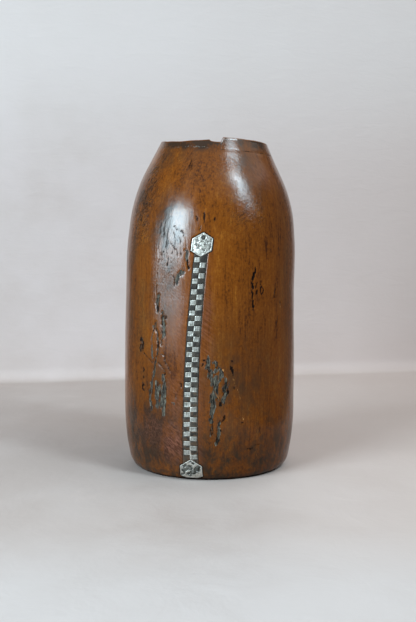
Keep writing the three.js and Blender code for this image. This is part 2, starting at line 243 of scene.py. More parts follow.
def make_piece(name, points, polygons, material, masks=None, smooth_faces=True):
    """A mesh object from points in millimetres. The masks are one number for each point."""
    mesh = bpy.data.meshes.new(name)
    mesh.from_pydata((np.asarray(points) * MM).tolist(), [], [list(map(int, p)) for p in polygons])
    for key, values in (masks or {}).items():
        layer = mesh.attributes.new(key, "FLOAT", "POINT")
        layer.data.foreach_set("value", np.asarray(values, np.float32))
    mesh.polygons.foreach_set("use_smooth", [smooth_faces] * len(mesh.polygons))
    mesh.materials.append(material)
    mesh.validate()
    piece = bpy.data.objects.new(name, mesh)
    bpy.context.scene.collection.objects.link(piece)
    if enclosed_volume(points, polygons) < 0:
        mesh.flip_normals()
    return piece


def enclosed_volume(points, polygons):
    points = np.asarray(points)
    total = 0.0
    for size in {len(p) for p in polygons}:
        same = np.array([p for p in polygons if len(p) == size])
        for k in range(1, size - 1):
            a, b, c = points[same[:, 0]], points[same[:, k]], points[same[:, k + 1]]
            total += np.einsum("ij,ij->", a, np.cross(b, c))
    return total / 6


def grid_quads(rows, columns, closed_rows=False, closed_columns=False):
    """Polygons of a grid whose points are numbered row by row."""
    i = np.arange(rows if closed_rows else rows - 1)[:, None]
    j = np.arange(columns if closed_columns else columns - 1)[None, :]
    up, on = (i + 1) % rows, (j + 1) % columns
    corners = [i * columns + j, i * columns + on, up * columns + on, up * columns + j]
    return np.stack(np.broadcast_arrays(*corners), axis=-1).reshape(-1, 4)


def subdivided(knots, longest):
    """The knots with enough even steps between them that none is longer than that."""
    levels = [knots[0]]
    for low, high in zip(knots, knots[1:]):
        count = max(1, math.ceil(abs(high - low) / longest - 1e-6))
        levels += [lerp(low, high, (k + 1) / count) for k in range(count)]
    return np.array(levels)


# Damage and colour of the wood, as places round the vessel: degrees from the front, and heights

MARK_MARGIN = 2  # how far the ragged edge of a mark may wander
DULL_HEIGHT = 62  # below which the polish fades

# width, depth, then how grey, dark and light it is, and its line
MARKS = [
    # worn grooves left of the top plate
    (1.0, 0.25, 0.25, 0.50, 0, [(-35, 197), (-36.3, 179), (-34.7, 171), (-36.1, 162), (-36.4, 153)]),
    (0.9, 0.25, 0.20, 0.60, 0, [(-31, 196), (-32.9, 190), (-31.3, 183)]),
    (1.0, 0.25, 0.20, 0.60, 0, [(-28.6, 194), (-30, 180), (-29, 168)]),
    (0.6, 0.22, 0.10, 0.85, 0, [(-25, 192.6), (-22.5, 189.3), (-20, 188.3), (-18.2, 186.5), (-17.5, 183)]),
    (0.6, 0.20, 0.20, 0.60, 0, [(-25.7, 190), (-24.1, 184.4), (-23.6, 179), (-23.5, 174)]),
    (0.6, 0.20, 0.20, 0.60, 0, [(-21.8, 184.4), (-19.6, 181.7), (-19.7, 176.3), (-19.1, 170)]),
    (0.6, 0.20, 0, 0.60, 0, [(-28.4, 181), (-21.9, 173.6), (-21.4, 165)]),
    (1.5, 0.35, 0.60, 0.70, 0, [(-17, 174.7), (-15.1, 173.6), (-15.4, 168), (-14.8, 164), (-14.2, 160)]),
    (1.2, 0.85, 0.20, 1.00, 0, [(-15, 166), (-14.5, 163), (-14.1, 160)]),
    (3.2, 0.45, 1.00, 0.10, 0, [(-16.6, 158), (-18.6, 157), (-20.4, 155), (-21.3, 151.5), (-20.8, 149)]),
    (1.0, 0.50, 0.20, 0.80, 0, [(-23.8, 155), (-23.4, 151), (-23.1, 147.5)]),
    (1.0, 0.25, 0.30, 0.45, 0, [(-36.6, 153), (-37, 143), (-35, 139)]),
    # strokes above the plate and on the neck
    (1.0, 0.15, 0.20, 0.95, 0, [(-10.2, 199.5), (-9.1, 194)]),
    (1.0, 0.15, 0.10, 0.95, 0, [(-5.6, 202), (-5.1, 194)]),
    (1.0, 0.15, 0.35, 0.80, 0, [(-7.3, 192), (-7.5, 188.6)]),
    (1.2, 0.40, 0, 0.80, 0, [(1.7, 197.5), (1.5, 195)]),
    (1.3, 0.30, 0.10, 0.60, 0, [(-19.7, 242), (-19, 238), (-17.6, 233)]),
    (2.4, 0.25, 0.20, 0.50, 0, [(-20.2, 237.5), (-18, 235)]),
    (1.6, 0.30, 0.05, 0.60, 0, [(-12.3, 229.2), (-11.5, 227.6)]),
    (1.3, 0.25, 0.05, 0.50, 0, [(-2.8, 226.4), (-1.8, 225.6)]),
    (1.0, 0.25, 0.05, 0.45, 0, [(-51, 217.5), (-48, 216), (-45.5, 217.5)]),
    (1.0, 0.25, 0.05, 0.45, 0, [(-49.5, 214), (-46.8, 212), (-44, 213.6)]),
    (0.8, 0.20, 0.05, 0.30, 0, [(8.5, 204), (4.5, 193), (3.2, 182)]),
    (0.6, 0.10, 0.35, 0, 0.20, [(-42, 250.6), (-30, 251.6), (-17, 251.8), (-5, 251)]),
    # gouges on the left
    (2.1, 0.90, 0.75, 0.60, 0, [(-34.6, 141), (-35.6, 134), (-35.2, 128)]),
    (1.3, 0.80, 0.10, 1.00, 0, [(-35.6, 133), (-35.3, 128.6)]),
    (2.8, 0.55, 0.80, 0.30, 0, [(-36.4, 120), (-37.4, 117), (-38, 114)]),
    (1.2, 0.40, 0.45, 0.50, 0, [(-38, 114), (-39.7, 107), (-39.5, 100), (-39, 95), (-37.9, 89)]),
    (1.6, 0.55, 0.45, 0.65, 0,
     [(-37.2, 116.6), (-35, 112), (-34.4, 105.6), (-34.7, 99), (-36, 91), (-37.5, 84.5)]),
    (2.5, 0.80, 0.90, 0.45, 0, [(-37.3, 86), (-38.9, 76), (-40.2, 68), (-41, 61), (-39.6, 53)]),
    (3.0, 1.00, 0.95, 0.60, 0, [(-31.6, 127.5), (-31, 121), (-30, 114.6), (-30.4, 109)]),
    (0.8, 0.10, 0.30, 0.40, 0, [(-32.4, 117), (-32.2, 110), (-31.6, 106)]),
    (1.7, 0.30, 0.50, 0.50, 0, [(-30.6, 109), (-32.2, 106.5), (-31.6, 103)]),
    (1.2, 0.35, 0.10, 0.70, 0, [(-29.2, 125), (-28.3, 123)]),
    (4.2, 0.55, 0.35, 0.80, 0, [(-50.3, 107), (-48.9, 102.4), (-49.8, 97)]),
    (1.1, 0.35, 0.15, 0.60, 0, [(-49, 97.5), (-46.3, 95), (-41.6, 92.3), (-39, 88.7)]),
    (1.2, 0.40, 0.05, 0.80, 0, [(-47.6, 84.6), (-46.6, 82.4), (-47.6, 80.6)]),
    (1.2, 0.40, 0.05, 0.80, 0, [(-46.4, 78), (-47.4, 75.8)]),
    (1.3, 0.45, 0.05, 0.90, 0, [(-48.2, 72.6), (-46.8, 71), (-47.9, 68.8), (-46.2, 66.6)]),
    (0.9, 0.14, 0.40, 0.75, 0, [(-32.4, 97), (-29.9, 94.7), (-28.9, 90.4), (-26.5, 86.8), (-25, 83)]),
    (0.9, 0.20, 0.30, 0.75, 0, [(-34.4, 90), (-32.4, 87.4), (-30.1, 85.2), (-28.8, 80.5)]),
    (3.6, 0.75, 0.80, 0.55, 0, [(-35.4, 75.5), (-34.9, 66), (-35.2, 55)]),
    (3.4, 0.90, 0.85, 0.60, 0, [(-30.4, 81), (-29.8, 70), (-30.4, 59), (-30, 50.5)]),
    (2.4, 0.50, 0.45, 0.55, 0, [(-33, 73), (-32.4, 60), (-32.7, 55)]),
    (1.6, 0.20, 0.45, 0.60, 0, [(-24.2, 60.4), (-22.8, 58.6)]),
    (1.2, 0.20, 0.20, 0.60, 0, [(-18.2, 76), (-17.7, 72)]),
    (1.5, 0.30, 0.20, 0.40, 0, [(-22, 70), (-21.4, 63)]),
    (1.2, 0.35, 0.10, 0.60, 0, [(-61.5, 36), (-60, 30.5), (-57.5, 27)]),
    # gouges on the right
    (2.6, 0.70, 0.45, 0.85, 0, [(-4.3, 90.4), (-3.5, 89.6)]),
    (1.4, 0.40, 0.15, 0.60, 0, [(-4.6, 93), (-2.9, 92.6), (-1.4, 91.6)]),
    (2.6, 0.80, 0.80, 0.60, 0, [(-0.8, 95.4), (-0.6, 90.6), (-1.6, 86.6), (0.2, 84.6), (1.9, 83.4)]),
    (2.4, 0.70, 0.75, 0.50, 0, [(2.3, 91.4), (4.3, 90.7), (4.8, 86.6), (3.5, 84.2), (2, 83.4)]),
    (3.1, 0.85, 0.85, 0.50, 0, [(-0.2, 84), (0.6, 80), (1.6, 77), (1.8, 74)]),
    (2.4, 0.80, 0.80, 0.65, 0, [(6.2, 87.2), (7.6, 84.1), (6.8, 79.6), (6, 76.2)]),
    (3.4, 0.85, 0.85, 0.40, 0, [(4.1, 81), (3.8, 74.6), (3.4, 69.6), (4.4, 66), (5.3, 63.4)]),
    (3.6, 1.00, 0.95, 0.35, 0, [(1.6, 68), (1.9, 63.6), (2.5, 60), (1.9, 55.7)]),
    (2.8, 0.85, 0.95, 0.35, 0, [(2, 57), (1.4, 51), (1.1, 47.9), (1.9, 45)]),
    (1.6, 0.50, 0.30, 0.60, 0, [(2.1, 45.5), (1.8, 41), (0.9, 34.5)]),
    (0.8, 0.20, 0, 0, 0.5, [(3.1, 71), (4.7, 66.4), (5.9, 63.7)]),
    (0.7, 0.20, 0, 0, 0.8, [(7.9, 86.4), (8.6, 84.8)]),
    (3.0, 0.90, 0.80, 0.80, 0, [(10.2, 80), (10.8, 74.4), (9.4, 70.4), (9.9, 66.4), (8.5, 63.3), (8.9, 60)]),
    (1.8, 0.70, 0.15, 1.00, 0, [(11.6, 70.4), (12.1, 68)]),
    (1.9, 0.75, 0.10, 1.00, 0, [(7.1, 60.6), (6.4, 58.4)]),
    (1.6, 0.45, 0.20, 0.75, 0, [(9.7, 51.6), (9, 48.4), (8, 46.6)]),
    (2.2, 0.70, 0.65, 0.75, 0, [(6.6, 47.6), (6.1, 41.2), (5.7, 36), (4.8, 30.6), (4.2, 28.6)]),
    (1.0, 0.40, 0, 0.75, 0, [(13.5, 93), (13.7, 90.8)]),
    (1.2, 0.50, 0.05, 0.85, 0, [(13.2, 88), (14.2, 85), (14.7, 80.6)]),
    (1.4, 0.40, 0.05, 0.75, 0, [(15.4, 73), (15.9, 70.6)]),
    (0.8, 0.15, 0, 0, 0.5, [(14.6, 79), (17, 71.7), (18.7, 68), (19.5, 62.8)]),
    (1.5, 0.40, 0, 0.30, 1.0, [(21.1, 49.2), (21.6, 47.8)]),
    (1.7, 0.35, 0.05, 0.75, 0, [(20.4, 45.6), (21.4, 44.4)]),
    # cracks on the right
    (1.5, 0.70, 0.10, 0.95, 0, [(29.2, 161.5), (28.9, 158), (27.9, 153.3), (27.2, 150.7)]),
    (1.7, 0.75, 0.15, 0.95, 0, [(27.2, 150.7), (27.5, 147.3), (27.9, 145.4)]),
    (1.2, 0.60, 0.10, 0.85, 0, [(27.3, 144), (28, 140.6), (28, 135), (28.2, 129.6)]),
    (1.0, 0.40, 0.05, 0.70, 0, [(29.2, 145.4), (30.4, 148), (31.7, 150.4)]),
    (1.2, 0.40, 0.05, 0.65, 0, [(30.7, 144.6), (30.3, 141)]),
    (1.1, 0.40, 0.15, 0.60, 0, [(33.9, 151.6), (34.4, 147.4)]),
    (1.0, 0.40, 0.05, 0.65, 0,
     [(34.2, 146.4), (33.5, 143.4), (34.4, 140.8), (35.7, 142), (35.8, 145), (34.6, 146.6)]),
    (1.2, 0.30, 0.05, 0.60, 0, [(25.9, 142.8), (25.5, 141.2)]),
    (1.2, 0.35, 0.30, 0.50, 0, [(47.2, 147.5), (46, 140.6), (43.9, 136.5)]),
    (1.8, 0.60, 0.50, 0.85, 0, [(52.4, 136), (52.3, 133)]),
    (1.5, 0.40, 0, 0, 0.7, [(52.3, 131), (52.2, 129.6)]),
    (1.3, 0.35, 0.10, 0.55, 0, [(49.9, 124), (48.6, 117), (49.4, 112)]),
    (1.1, 0.25, 0.10, 0.50, 0, [(33.6, 41), (34.6, 34)]),
    (1.3, 0.30, 0.05, 0.70, 0.3, [(55.4, 23.6), (56.3, 22.2)]),
    (1.4, 0.35, 0.10, 0.60, 0, [(25, 25), (27.5, 24), (29.4, 24.6)]),
    (1.4, 0.35, 0.10, 0.60, 0, [(30.5, 27), (33.6, 26.6)]),
    # dents and short cracks on the sides and the back, which are out of the photograph
    (1.6, 0.60, 0.30, 0.80, 0, [(88, 176), (87, 168), (88.6, 158)]),
    (3.2, 0.60, 0.70, 0.50, 0, [(104, 74), (105.5, 62), (104.4, 52)]),
    (2.8, 0.60, 0.50, 0.70, 0, [(149, 128), (151, 114), (150, 103)]),
    (2.6, 0.55, 0.30, 0.80, 0, [(-172, 92), (-170, 81), (-171, 72)]),
    (3.0, 0.60, 0.60, 0.60, 0, [(-141, 160), (-139, 148), (-140.5, 137)]),
    (2.2, 0.50, 0.40, 0.70, 0, [(-104, 119), (-105.6, 108), (-104.6, 98)]),
    (1.8, 0.45, 0.30, 0.70, 0, [(-82, 66), (-81, 55), (-82.5, 47)]),
]

# middle as degrees and height, half width in degrees, half height, and strength
ROUGH_AREAS = [
    (-28, 174, 11, 26, 1.0),
    (-34, 84, 11, 36, 0.45),
    (5, 68, 8, 26, 0.5),
    (-20, 236, 12, 8, 0.35),
    (33, 147, 7, 13, 0.4),
    (-116, 96, 14, 30, 0.5),
    (160, 150, 16, 26, 0.4),
]
RUDDY_AREAS = [
    (-24, 30, 10, 15, 1.0),
    (-22, 66, 6, 24, 0.55),
    (-19, 116, 4, 30, 0.5),
    (-2.5, 118, 4, 34, 0.75),
    (-40, 38, 12, 12, 0.45),
    (44, 232, 16, 12, 0.7),
    (118, 60, 26, 34, 0.5),
    (-150, 190, 24, 26, 0.5),
]
CRAZED_AREAS = [
    (-56, 210, 14, 34, 1.7),
    (27, 203, 22, 18, 0.8),
    (-20, 234, 36, 14, 0.5),
    (-48, 34, 30, 26, 0.8),
    (-54, 110, 13, 60, 0.5),
    (110, 210, 30, 30, 0.5),
    (-160, 215, 40, 26, 0.5),
]
# darker wood, and painted shade: the two bands round the foot, the patches low on the left and the band up
# the left flank stand in for shade, and the rest darken the wood itself
DARK_WOOD_AND_PAINTED_SHADE_AREAS = [
    (0, 2, 180, 13, 1.05),
    (0, 14, 180, 40, 0.95),
    (34, 225, 12, 20, 0.6),
    (-66, 150, 13, 90, 0.7),
    (-34, 76, 24, 36, 0.65),
    (-58, 42, 18, 26, 1.1),
    (-42, 30, 34, 34, 1.45),
    (18, 76, 34, 46, 0.75),
    (1, 108, 8, 28, 0.45),
    (-24, 246, 26, 9, 0.5),
    (-50, 120, 14, 60, 0.5),
    (61, 150, 12, 90, 0.5),
    (30, 52, 40, 30, 0.45),
    (-29, 190, 13, 24, 1.5),
    (-29, 160, 9, 24, 1.1),
    (-30, 142, 12, 30, 0.9),
    (-24, 258, 44, 9, 2.1),
    (-48, 244, 14, 14, 1.0),
    (40, 258, 30, 7, 1.3),
    (26, 238, 18, 30, 0.8),
    (0, 240, 60, 14, 0.35),
    (-60, 214, 16, 26, 0.75),
    (66, 60, 16, 60, 0.55),
    (62, 214, 14, 22, 0.45),
    (150, 30, 50, 18, 0.7),
    (-130, 20, 40, 14, 0.7),
]


def turned(degrees_apart):
    """The shorter way round between two angles, in degrees."""
    return (degrees_apart + 180) % 360 - 180


def area_share(areas, degrees, z):
    share = np.zeros(np.broadcast(degrees, z).shape)
    for middle, height, half_width, half_height, strength in areas:
        out = (turned(degrees - middle) / half_width) ** 2 + ((z - height) / half_height) ** 2
        share = np.maximum(share, strength * np.exp(-out))
    return share


def line_share(x, y, width, line):
    """1 on a line, falling to 0 at half its width, which tapers towards its ends."""
    line = np.asarray(line, float)
    lengths = np.concatenate([[0], np.cumsum(np.linalg.norm(np.diff(line, axis=0), axis=1))])
    best = np.zeros(x.shape)
    for a, b, begin, end in zip(line, line[1:], lengths, lengths[1:]):
        way = b - a
        along = np.clip(((x - a[0]) * way[0] + (y - a[1]) * way[1]) / max(way @ way, 1e-9), 0, 1)
        away = np.hypot(x - a[0] - along * way[0], y - a[1] - along * way[1])
        place = lerp(begin, end, along) / lengths[-1]
        taper = 0.45 + 0.55 * np.sqrt(np.clip(4 * place * (1 - place), 0, 1))
        best = np.maximum(best, 1 - away / (width / 2 * taper))
    return np.clip(best, 0, 1)


def thin_lines(pattern, width):
    """1 where a pattern crosses zero, falling to 0 at that distance from it."""
    return smooth(1 - np.abs(pattern) / width)


def hexagon_inset(across, rise, radius):
    """How far inside a hexagon, standing on its corner, a point lies. It is negative outside."""
    flat = radius * math.cos(math.pi / 6)
    sides = [abs(across * math.cos(a) + rise * math.sin(a)) for a in map(math.radians, (0, 60, 120))]
    return flat - np.maximum.reduce(sides)


def foot_plate_inset(across, z):
    a = np.abs(across)
    slant = math.atan2(FOOT_PLATE_PEAK - FOOT_PLATE_EAVES, FOOT_PLATE_HALF_WIDTH)
    roof = (FOOT_PLATE_PEAK - z) * math.cos(slant) - a * math.sin(slant)
    chamfer = math.atan2(FOOT_PLATE_SILL - FOOT_PLATE_BOTTOM, FOOT_PLATE_HALF_WIDTH / 2)
    corner = (z - FOOT_PLATE_SILL) * math.cos(chamfer) + (FOOT_PLATE_HALF_WIDTH - a) * math.sin(chamfer)
    return np.minimum.reduce([roof, FOOT_PLATE_HALF_WIDTH - a, z - FOOT_PLATE_BOTTOM, corner])


carving = Noise(11)
warping = Noise(12)
grain = Noise(13)


def darken(masks, share):
    masks["dark"] = np.maximum(masks["dark"], share)


def carved_wall(around, degrees, z):
    """Depth and masks of the plain wall: long flats, the facets of the scraper, rough patches."""
    depth = 0.22 + 0.22 * carving.layers(scaled(around, 26, 60), 2)
    depth += 0.05 * carving.at(scaled(around, 5, 22) + 40)
    depth = np.clip(depth, 0, None)
    rough = area_share(ROUGH_AREAS, degrees, z)
    strings = grain.layers(scaled(around, 1.9, 13), 3)
    splits = thin_lines(warping.layers(scaled(around, 4.2, 24) + 55, 3), 0.07)
    splits *= smoothstep(grain.at(scaled(around, 9, 14) + 80), -0.1, 0.25)
    depth += rough * (0.06 * np.clip(strings + 0.25, 0, 1) + 0.10 * splits)
    return depth, {
        "grey": rough * smoothstep(strings, 0.15, 0.65) * 0.35,
        "dark": rough * np.maximum(smoothstep(strings, 0.4, 0.85) * 0.25, 0.9 * splits),
        "light": np.zeros(degrees.shape),
        "ruddy": area_share(RUDDY_AREAS, degrees, z),
        # dusky holds painted shade round the foot and on the left, as well as dark wood
        "dusky": area_share(DARK_WOOD_AND_PAINTED_SHADE_AREAS, degrees, z),
        "crazed": area_share(CRAZED_AREAS, degrees, z),
        "dull": np.exp(-((z / DULL_HEIGHT) ** 2)) + 0 * degrees,
    }


def near_mark(degrees, z, width, line):
    """Where the points lie close enough to a mark to be reached by it."""
    reach = np.degrees((width + MARK_MARGIN) / RIM_RADIUS)
    near = (degrees > line[:, 0].min() - reach) & (degrees < line[:, 0].max() + reach)
    near |= turned(degrees - line[0, 0]) ** 2 < reach**2
    near &= z > line[:, 1].min() - width - MARK_MARGIN
    return near & (z < line[:, 1].max() + width + MARK_MARGIN)


def cut_marks(depth, masks, around, degrees, z):
    """Sinks and colours the wood at every mark, with edges that wander."""
    shift_x = 0.55 * warping.layers(scaled(around, 4, 7), 3)
    shift_z = 0.8 * warping.layers(scaled(around, 6, 6) + 9, 2)
    ragged = 0.9 * warping.layers(scaled(around, 1.4, 5) + 21, 2)
    fissures = thin_lines(grain.layers(scaled(around, 1.7, 15) + 64, 2), 0.16)
    for width, low, grey, dark, light, line in MARKS:
        line = np.array(line)
        near = near_mark(degrees, z, width, line)
        if not near.any():
            continue
        radius = float(outer_radius(line[:, 1].mean()))
        x = np.radians(line[0, 0] + turned(degrees[near] - line[0, 0])) * radius + shift_x[near]
        points = np.stack([np.radians(line[:, 0]) * radius, line[:, 1]], axis=1)
        share = line_share(x, z[near] + shift_z[near], 0.5 + 1.3 * width, points)
        share = np.clip(share - np.clip(ragged[near], -0.15, 1), 0, 1) * (share > 0)
        bowl = smooth(share * 1.8)
        sunk = 0.55 * low * (1 + ragged[near]) + 0.17 * min(width, 1.5) + 0.2 * fissures[near]
        depth[near] = np.maximum(depth[near], lerp(depth[near], sunk, bowl))
        core = grey * smoothstep(share, 0.08, 0.32) * (1 - 0.7 * fissures[near])
        edge = lerp(0.6 * grey, 1, dark) * smoothstep(share, 0, 0.2)
        masks["grey"][near] = np.maximum(masks["grey"][near] * (1 - bowl), core)
        masks["dark"][near] = np.maximum(masks["dark"][near] * (1 - core), edge * (1 - 0.9 * core))
        masks["light"][near] = np.maximum(masks["light"][near], light * smooth(share * 2))


def cut_neck_line(depth, masks, around, degrees, z):
    """The line round the neck, worn away over part of the front."""
    line_height = HEIGHT - NECK_LINE_DROP + 0.25 * warping.at(scaled(around, 14, 14) + 5)
    clear = smoothstep(degrees, -46, -38) * lerp(0.45, 1, smoothstep(degrees, 0, 8))
    clear = np.maximum(clear, 0.6 * (np.abs(turned(degrees - 180)) < 100))
    cut = np.clip(1 - np.abs(z - line_height) / NECK_LINE_WIDTH, 0, 1) * clear
    depth += NECK_LINE_DEPTH * cut
    darken(masks, 0.75 * cut)


def seat_seam(depth, masks, across, z):
    """Depth with the channel of the seam and the pockets of the plates, and their dark edges."""
    side = np.abs(across)
    reach = reach_at(z)
    in_channel = (side < reach + CHANNEL_MARGIN + 1e-6) & (z > FOOT_PLATE_SILL + 4)
    in_channel &= z < TOP_PLATE_HEIGHT
    depth = np.where(in_channel, CHANNEL_DEPTH, depth)
    pocket = PLATE_THICKNESS - PLATE_PROUD + CLEARANCE
    top_inset = hexagon_inset(across, z - TOP_PLATE_HEIGHT, TOP_PLATE_RADIUS)
    for inset in (top_inset, foot_plate_inset(across, z)):
        depth = np.maximum(depth, pocket * smoothstep(inset, -0.35, 0.25))
        rim = smoothstep(inset, -1.0, -0.3)
        darken(masks, 0.95 * rim)
        masks["grey"] = masks["grey"] * (1 - rim)
    beside = side - (reach + CHANNEL_MARGIN)
    along_seam = (z > FOOT_PLATE_EAVES) & (z < TOP_PLATE_HEIGHT)
    darken(masks, 0.6 * along_seam * smoothstep(-beside, -0.35, 0))
    masks["ruddy"] = np.maximum(masks["ruddy"], 0.35 * along_seam * np.exp(-((beside / 4.0) ** 2)))
    return depth


def wood_surface(angle, z):
    """Depth below the turned outside, and the masks of the finish and of painted shade, at angles and
    heights.
    """
    degrees = turned(np.degrees(angle))
    around = np.stack([BELLY_RADIUS * np.sin(angle), -BELLY_RADIUS * np.cos(angle), z], axis=-1)
    across = np.radians(turned(degrees - np.degrees(seam_angle(z)))) * outer_radius(z)
    depth, masks = carved_wall(around, degrees, z)
    cut_marks(depth, masks, around, degrees, z)
    cut_neck_line(depth, masks, around, degrees, z)
    # painted contact shadow: the wood turns almost black in the last few millimetres above the floor
    darken(masks, 0.9 * smoothstep(-z, -3.4, -0.6))
    return seat_seam(depth, masks, across, z), masks


def rim_top(angle):
    """Height that the worn and chipped rim reaches at an angle."""
    degrees = turned(np.degrees(angle))
    lost = np.zeros(degrees.shape)
    for stretch in (WORN_STRETCH, CHIP):
        places, depths = np.array(stretch).T
        inside = (degrees >= places[0]) & (degrees <= places[-1])
        lost = np.maximum(lost, np.where(inside, np.interp(degrees, places, depths), 0))
    around = np.stack([RIM_RADIUS * np.sin(angle), -RIM_RADIUS * np.cos(angle), 0 * angle], axis=-1)
    worn = 0.25 + 0.25 * warping.layers(scaled(around, 7, 7) + 31, 3)
    return HEIGHT - lost - np.clip(worn, 0, 1)

# Vessel

FINE_SPACING = 0.75  # of the columns in front
SIDE_SPACING = 1.3
BACK_SPACING = 2.9
ROW_SPACING = 1.2
FAR_START = -3  # degrees at which the columns right of the seam begin
FAR_TURN = 348  # degrees that they and those behind take up
BACK_START = 92
RIM_START = 250.0
FOOT_EDGE = 1.7
RIM_EDGE = 1.0
CHIP_SLOPE = 0.3


def seam_knots(z):
    """Distances across from the seam where the wall changes: crack, slits and channel."""
    reach = reach_at(z)
    slit = reach - STRIP_THICKNESS / 2
    right = [
        SLOT_WIDTH / 2 + 0 * z,
        slit - SLOT_WIDTH / 2,
        slit + SLOT_WIDTH / 2,
        reach + CHANNEL_MARGIN,
        reach + CHANNEL_MARGIN + 0.2,
    ]
    return np.stack([-k for k in right[::-1]] + [0 * z] + right, axis=-1)


CELLS_BETWEEN_KNOTS = [1, 2, 2, 5, 1, 1, 5, 2, 2, 1]
SEAM_CELLS = sum(CELLS_BETWEEN_KNOTS)
LEFT_SLIT_CELLS = range(3, 5)
CRACK_CELLS = range(10, 12)
RIGHT_SLIT_CELLS = range(17, 19)


def seam_columns(z):
    """Distances across of the columns at the seam, for each height."""
    knots = seam_knots(z)
    columns = [knots[..., :1]]
    for k, count in enumerate(CELLS_BETWEEN_KNOTS):
        low, high = knots[..., k, None], knots[..., k + 1, None]
        columns.append(low + (high - low) * np.arange(1, count + 1) / count)
    return np.concatenate(columns, axis=-1)


def far_column_shares():
    """Places of the other columns, from 0 at the right of the seam round to 1 at its left."""
    share = np.linspace(0, 1, 4001)
    degrees = turned(FAR_START + FAR_TURN * share)
    front = smoothstep(np.abs(degrees + 2), 64, 50)
    side = smoothstep(np.abs(degrees), 96, 80)
    spacing = lerp(lerp(BACK_SPACING, SIDE_SPACING, side), FINE_SPACING, front)
    count = np.concatenate([[0], np.cumsum(np.diff(share) / ((spacing[1:] + spacing[:-1]) / 2))])
    count *= 2 * math.pi * BELLY_RADIUS * FAR_TURN / 360
    cells = int(count[-1])
    shares = np.interp(np.arange(1, cells) * count[-1] / cells, count, share)
    is_back = np.abs(turned(FAR_START + FAR_TURN * np.append(shares, 1))) > BACK_START
    return shares, is_back


def column_angles(z, shares):
    z = np.asarray(z, float)
    across = seam_columns(z) / outer_radius(z)[..., None]
    edge = across[..., -1:]
    far = edge + (2 * math.pi - 2 * edge) * shares
    return seam_angle(z)[..., None] + np.concatenate([across, far], axis=-1)


def wall_heights():
    """Heights of the rows of the wall, with rows at the ends of every slit and of the crack."""
    knots = {FOOT_EDGE, *CRACK_SPAN, FLOOR, RIM_START}
    for index in range(STITCH_COUNT):
        knots |= {stitch_height(index) + end * SLIT_HEIGHT / 2 for end in (-1, 1)}
    return subdivided(sorted(knots), ROW_SPACING)


def arc(count):
    """Sines and cosines of a quarter turn, without its ends."""
    turn = np.arange(1, count) / count * math.pi / 2
    return list(zip(np.sin(turn), np.cos(turn)))


class VesselRows:
    """Rows of points round the vessel: the kind of wall, angle, radius, height and masks."""

    def __init__(self, columns, mask_names):
        self.plain = {name: np.zeros(columns) for name in mask_names}
        self.rows = []

    def add(self, kind, angle, radius, z, masks=None, inside=0.0):
        values = dict(self.plain, **(masks or {}))
        values["inside"] = np.full(angle.shape, inside)
        self.rows.append((kind, angle, radius + 0 * angle, z + 0 * angle, values))

    def add_foot(self, angle, radius, masks):
        """The foot, slightly hollowed, and the rounded edge up to the wall."""
        standing = {"dusky": np.full(angle.shape, 1.0)}
        for share in (0.0, 0.25, 0.5, 0.72, 0.88, 1.0):
            self.add("foot", angle, radius * share, 0.6 * (1 - share**4), standing)
        for sine, cosine in arc(3):
            self.add("edge", angle, radius + FOOT_EDGE * sine, FOOT_EDGE * (1 - cosine), masks)

    def add_lip(self, angle):
        """The last of the outside, the worn lip, and the first of the inside."""
        top = rim_top(angle)
        lift = Noise(14).layers(scaled(polar_point(angle, RIM_RADIUS, 0 * top), 2.5, 2.5), 2)
        chipped = smoothstep(HEIGHT - top, 1.0, 2.5)
        low = top - CHIP_SLOPE * chipped
        rim_shares = np.linspace(0, 1, 9)[1:]
        for share in rim_shares:
            z = lerp(RIM_START, top - RIM_EDGE, share)
            depth, masks = wood_surface(angle, z)
            self.add("rim", angle, outer_radius(z) - depth, z, masks)
        outer = outer_radius(top - RIM_EDGE) - depth - RIM_EDGE
        inner = inner_radius(top - RIM_EDGE) + RIM_EDGE
        worn = dict(masks, light=0.35 * (1 - chipped), dusky=0.4 + 0 * top)
        for sine, cosine in arc(4):
            self.add("rim", angle, outer + RIM_EDGE * cosine, top - RIM_EDGE * (1 - sine), worn)
        for share in (0.0, 0.25, 0.5, 0.75, 1.0):
            rough = (0.12 + 0.35 * chipped) * lift * math.sin(math.pi * (0.1 + 0.8 * share))
            z = top - np.abs(rough) - CHIP_SLOPE * chipped * share
            self.add("lip", angle, lerp(outer, inner, share), z, worn, 0.3)
        for sine, cosine in arc(4)[::-1]:
            self.add("lip", angle, inner - RIM_EDGE * cosine, low - RIM_EDGE * (1 - sine), worn, 0.6)
        for share in rim_shares[::-1]:
            z = lerp(RIM_START, low - RIM_EDGE, share)
            self.add("lip", angle, inner_radius(z), z, None, 1.0)

    def add_inside(self, angles, heights):
        """The inside, with the marks of the hollowing gouge."""
        for angle, z in zip(angles, heights):
            around = polar_point(angle, BELLY_RADIUS, z + 0 * angle)
            scoops = np.clip(0.5 + 0.5 * carving.layers(scaled(around, 9, 26) + 70, 2), 0, 1)
            calm = smoothstep(z, FLOOR, FLOOR + 8)
            self.add("inside", angle, inner_radius(z) + 0.9 * scoops * calm, z, None, 1.0)

    def add_floor(self, angle):
        radius = inner_radius(float(FLOOR))
        for share in (0.85, 0.6, 0.35, 0.15, 0.0):
            around = polar_point(angle, radius * share, 0 * angle)
            z = FLOOR + 0.5 * (1 - share) * (0.5 + 0.5 * carving.at(scaled(around, 14, 14)))
            self.add("floor", angle, radius * share, z, None, 1.0)


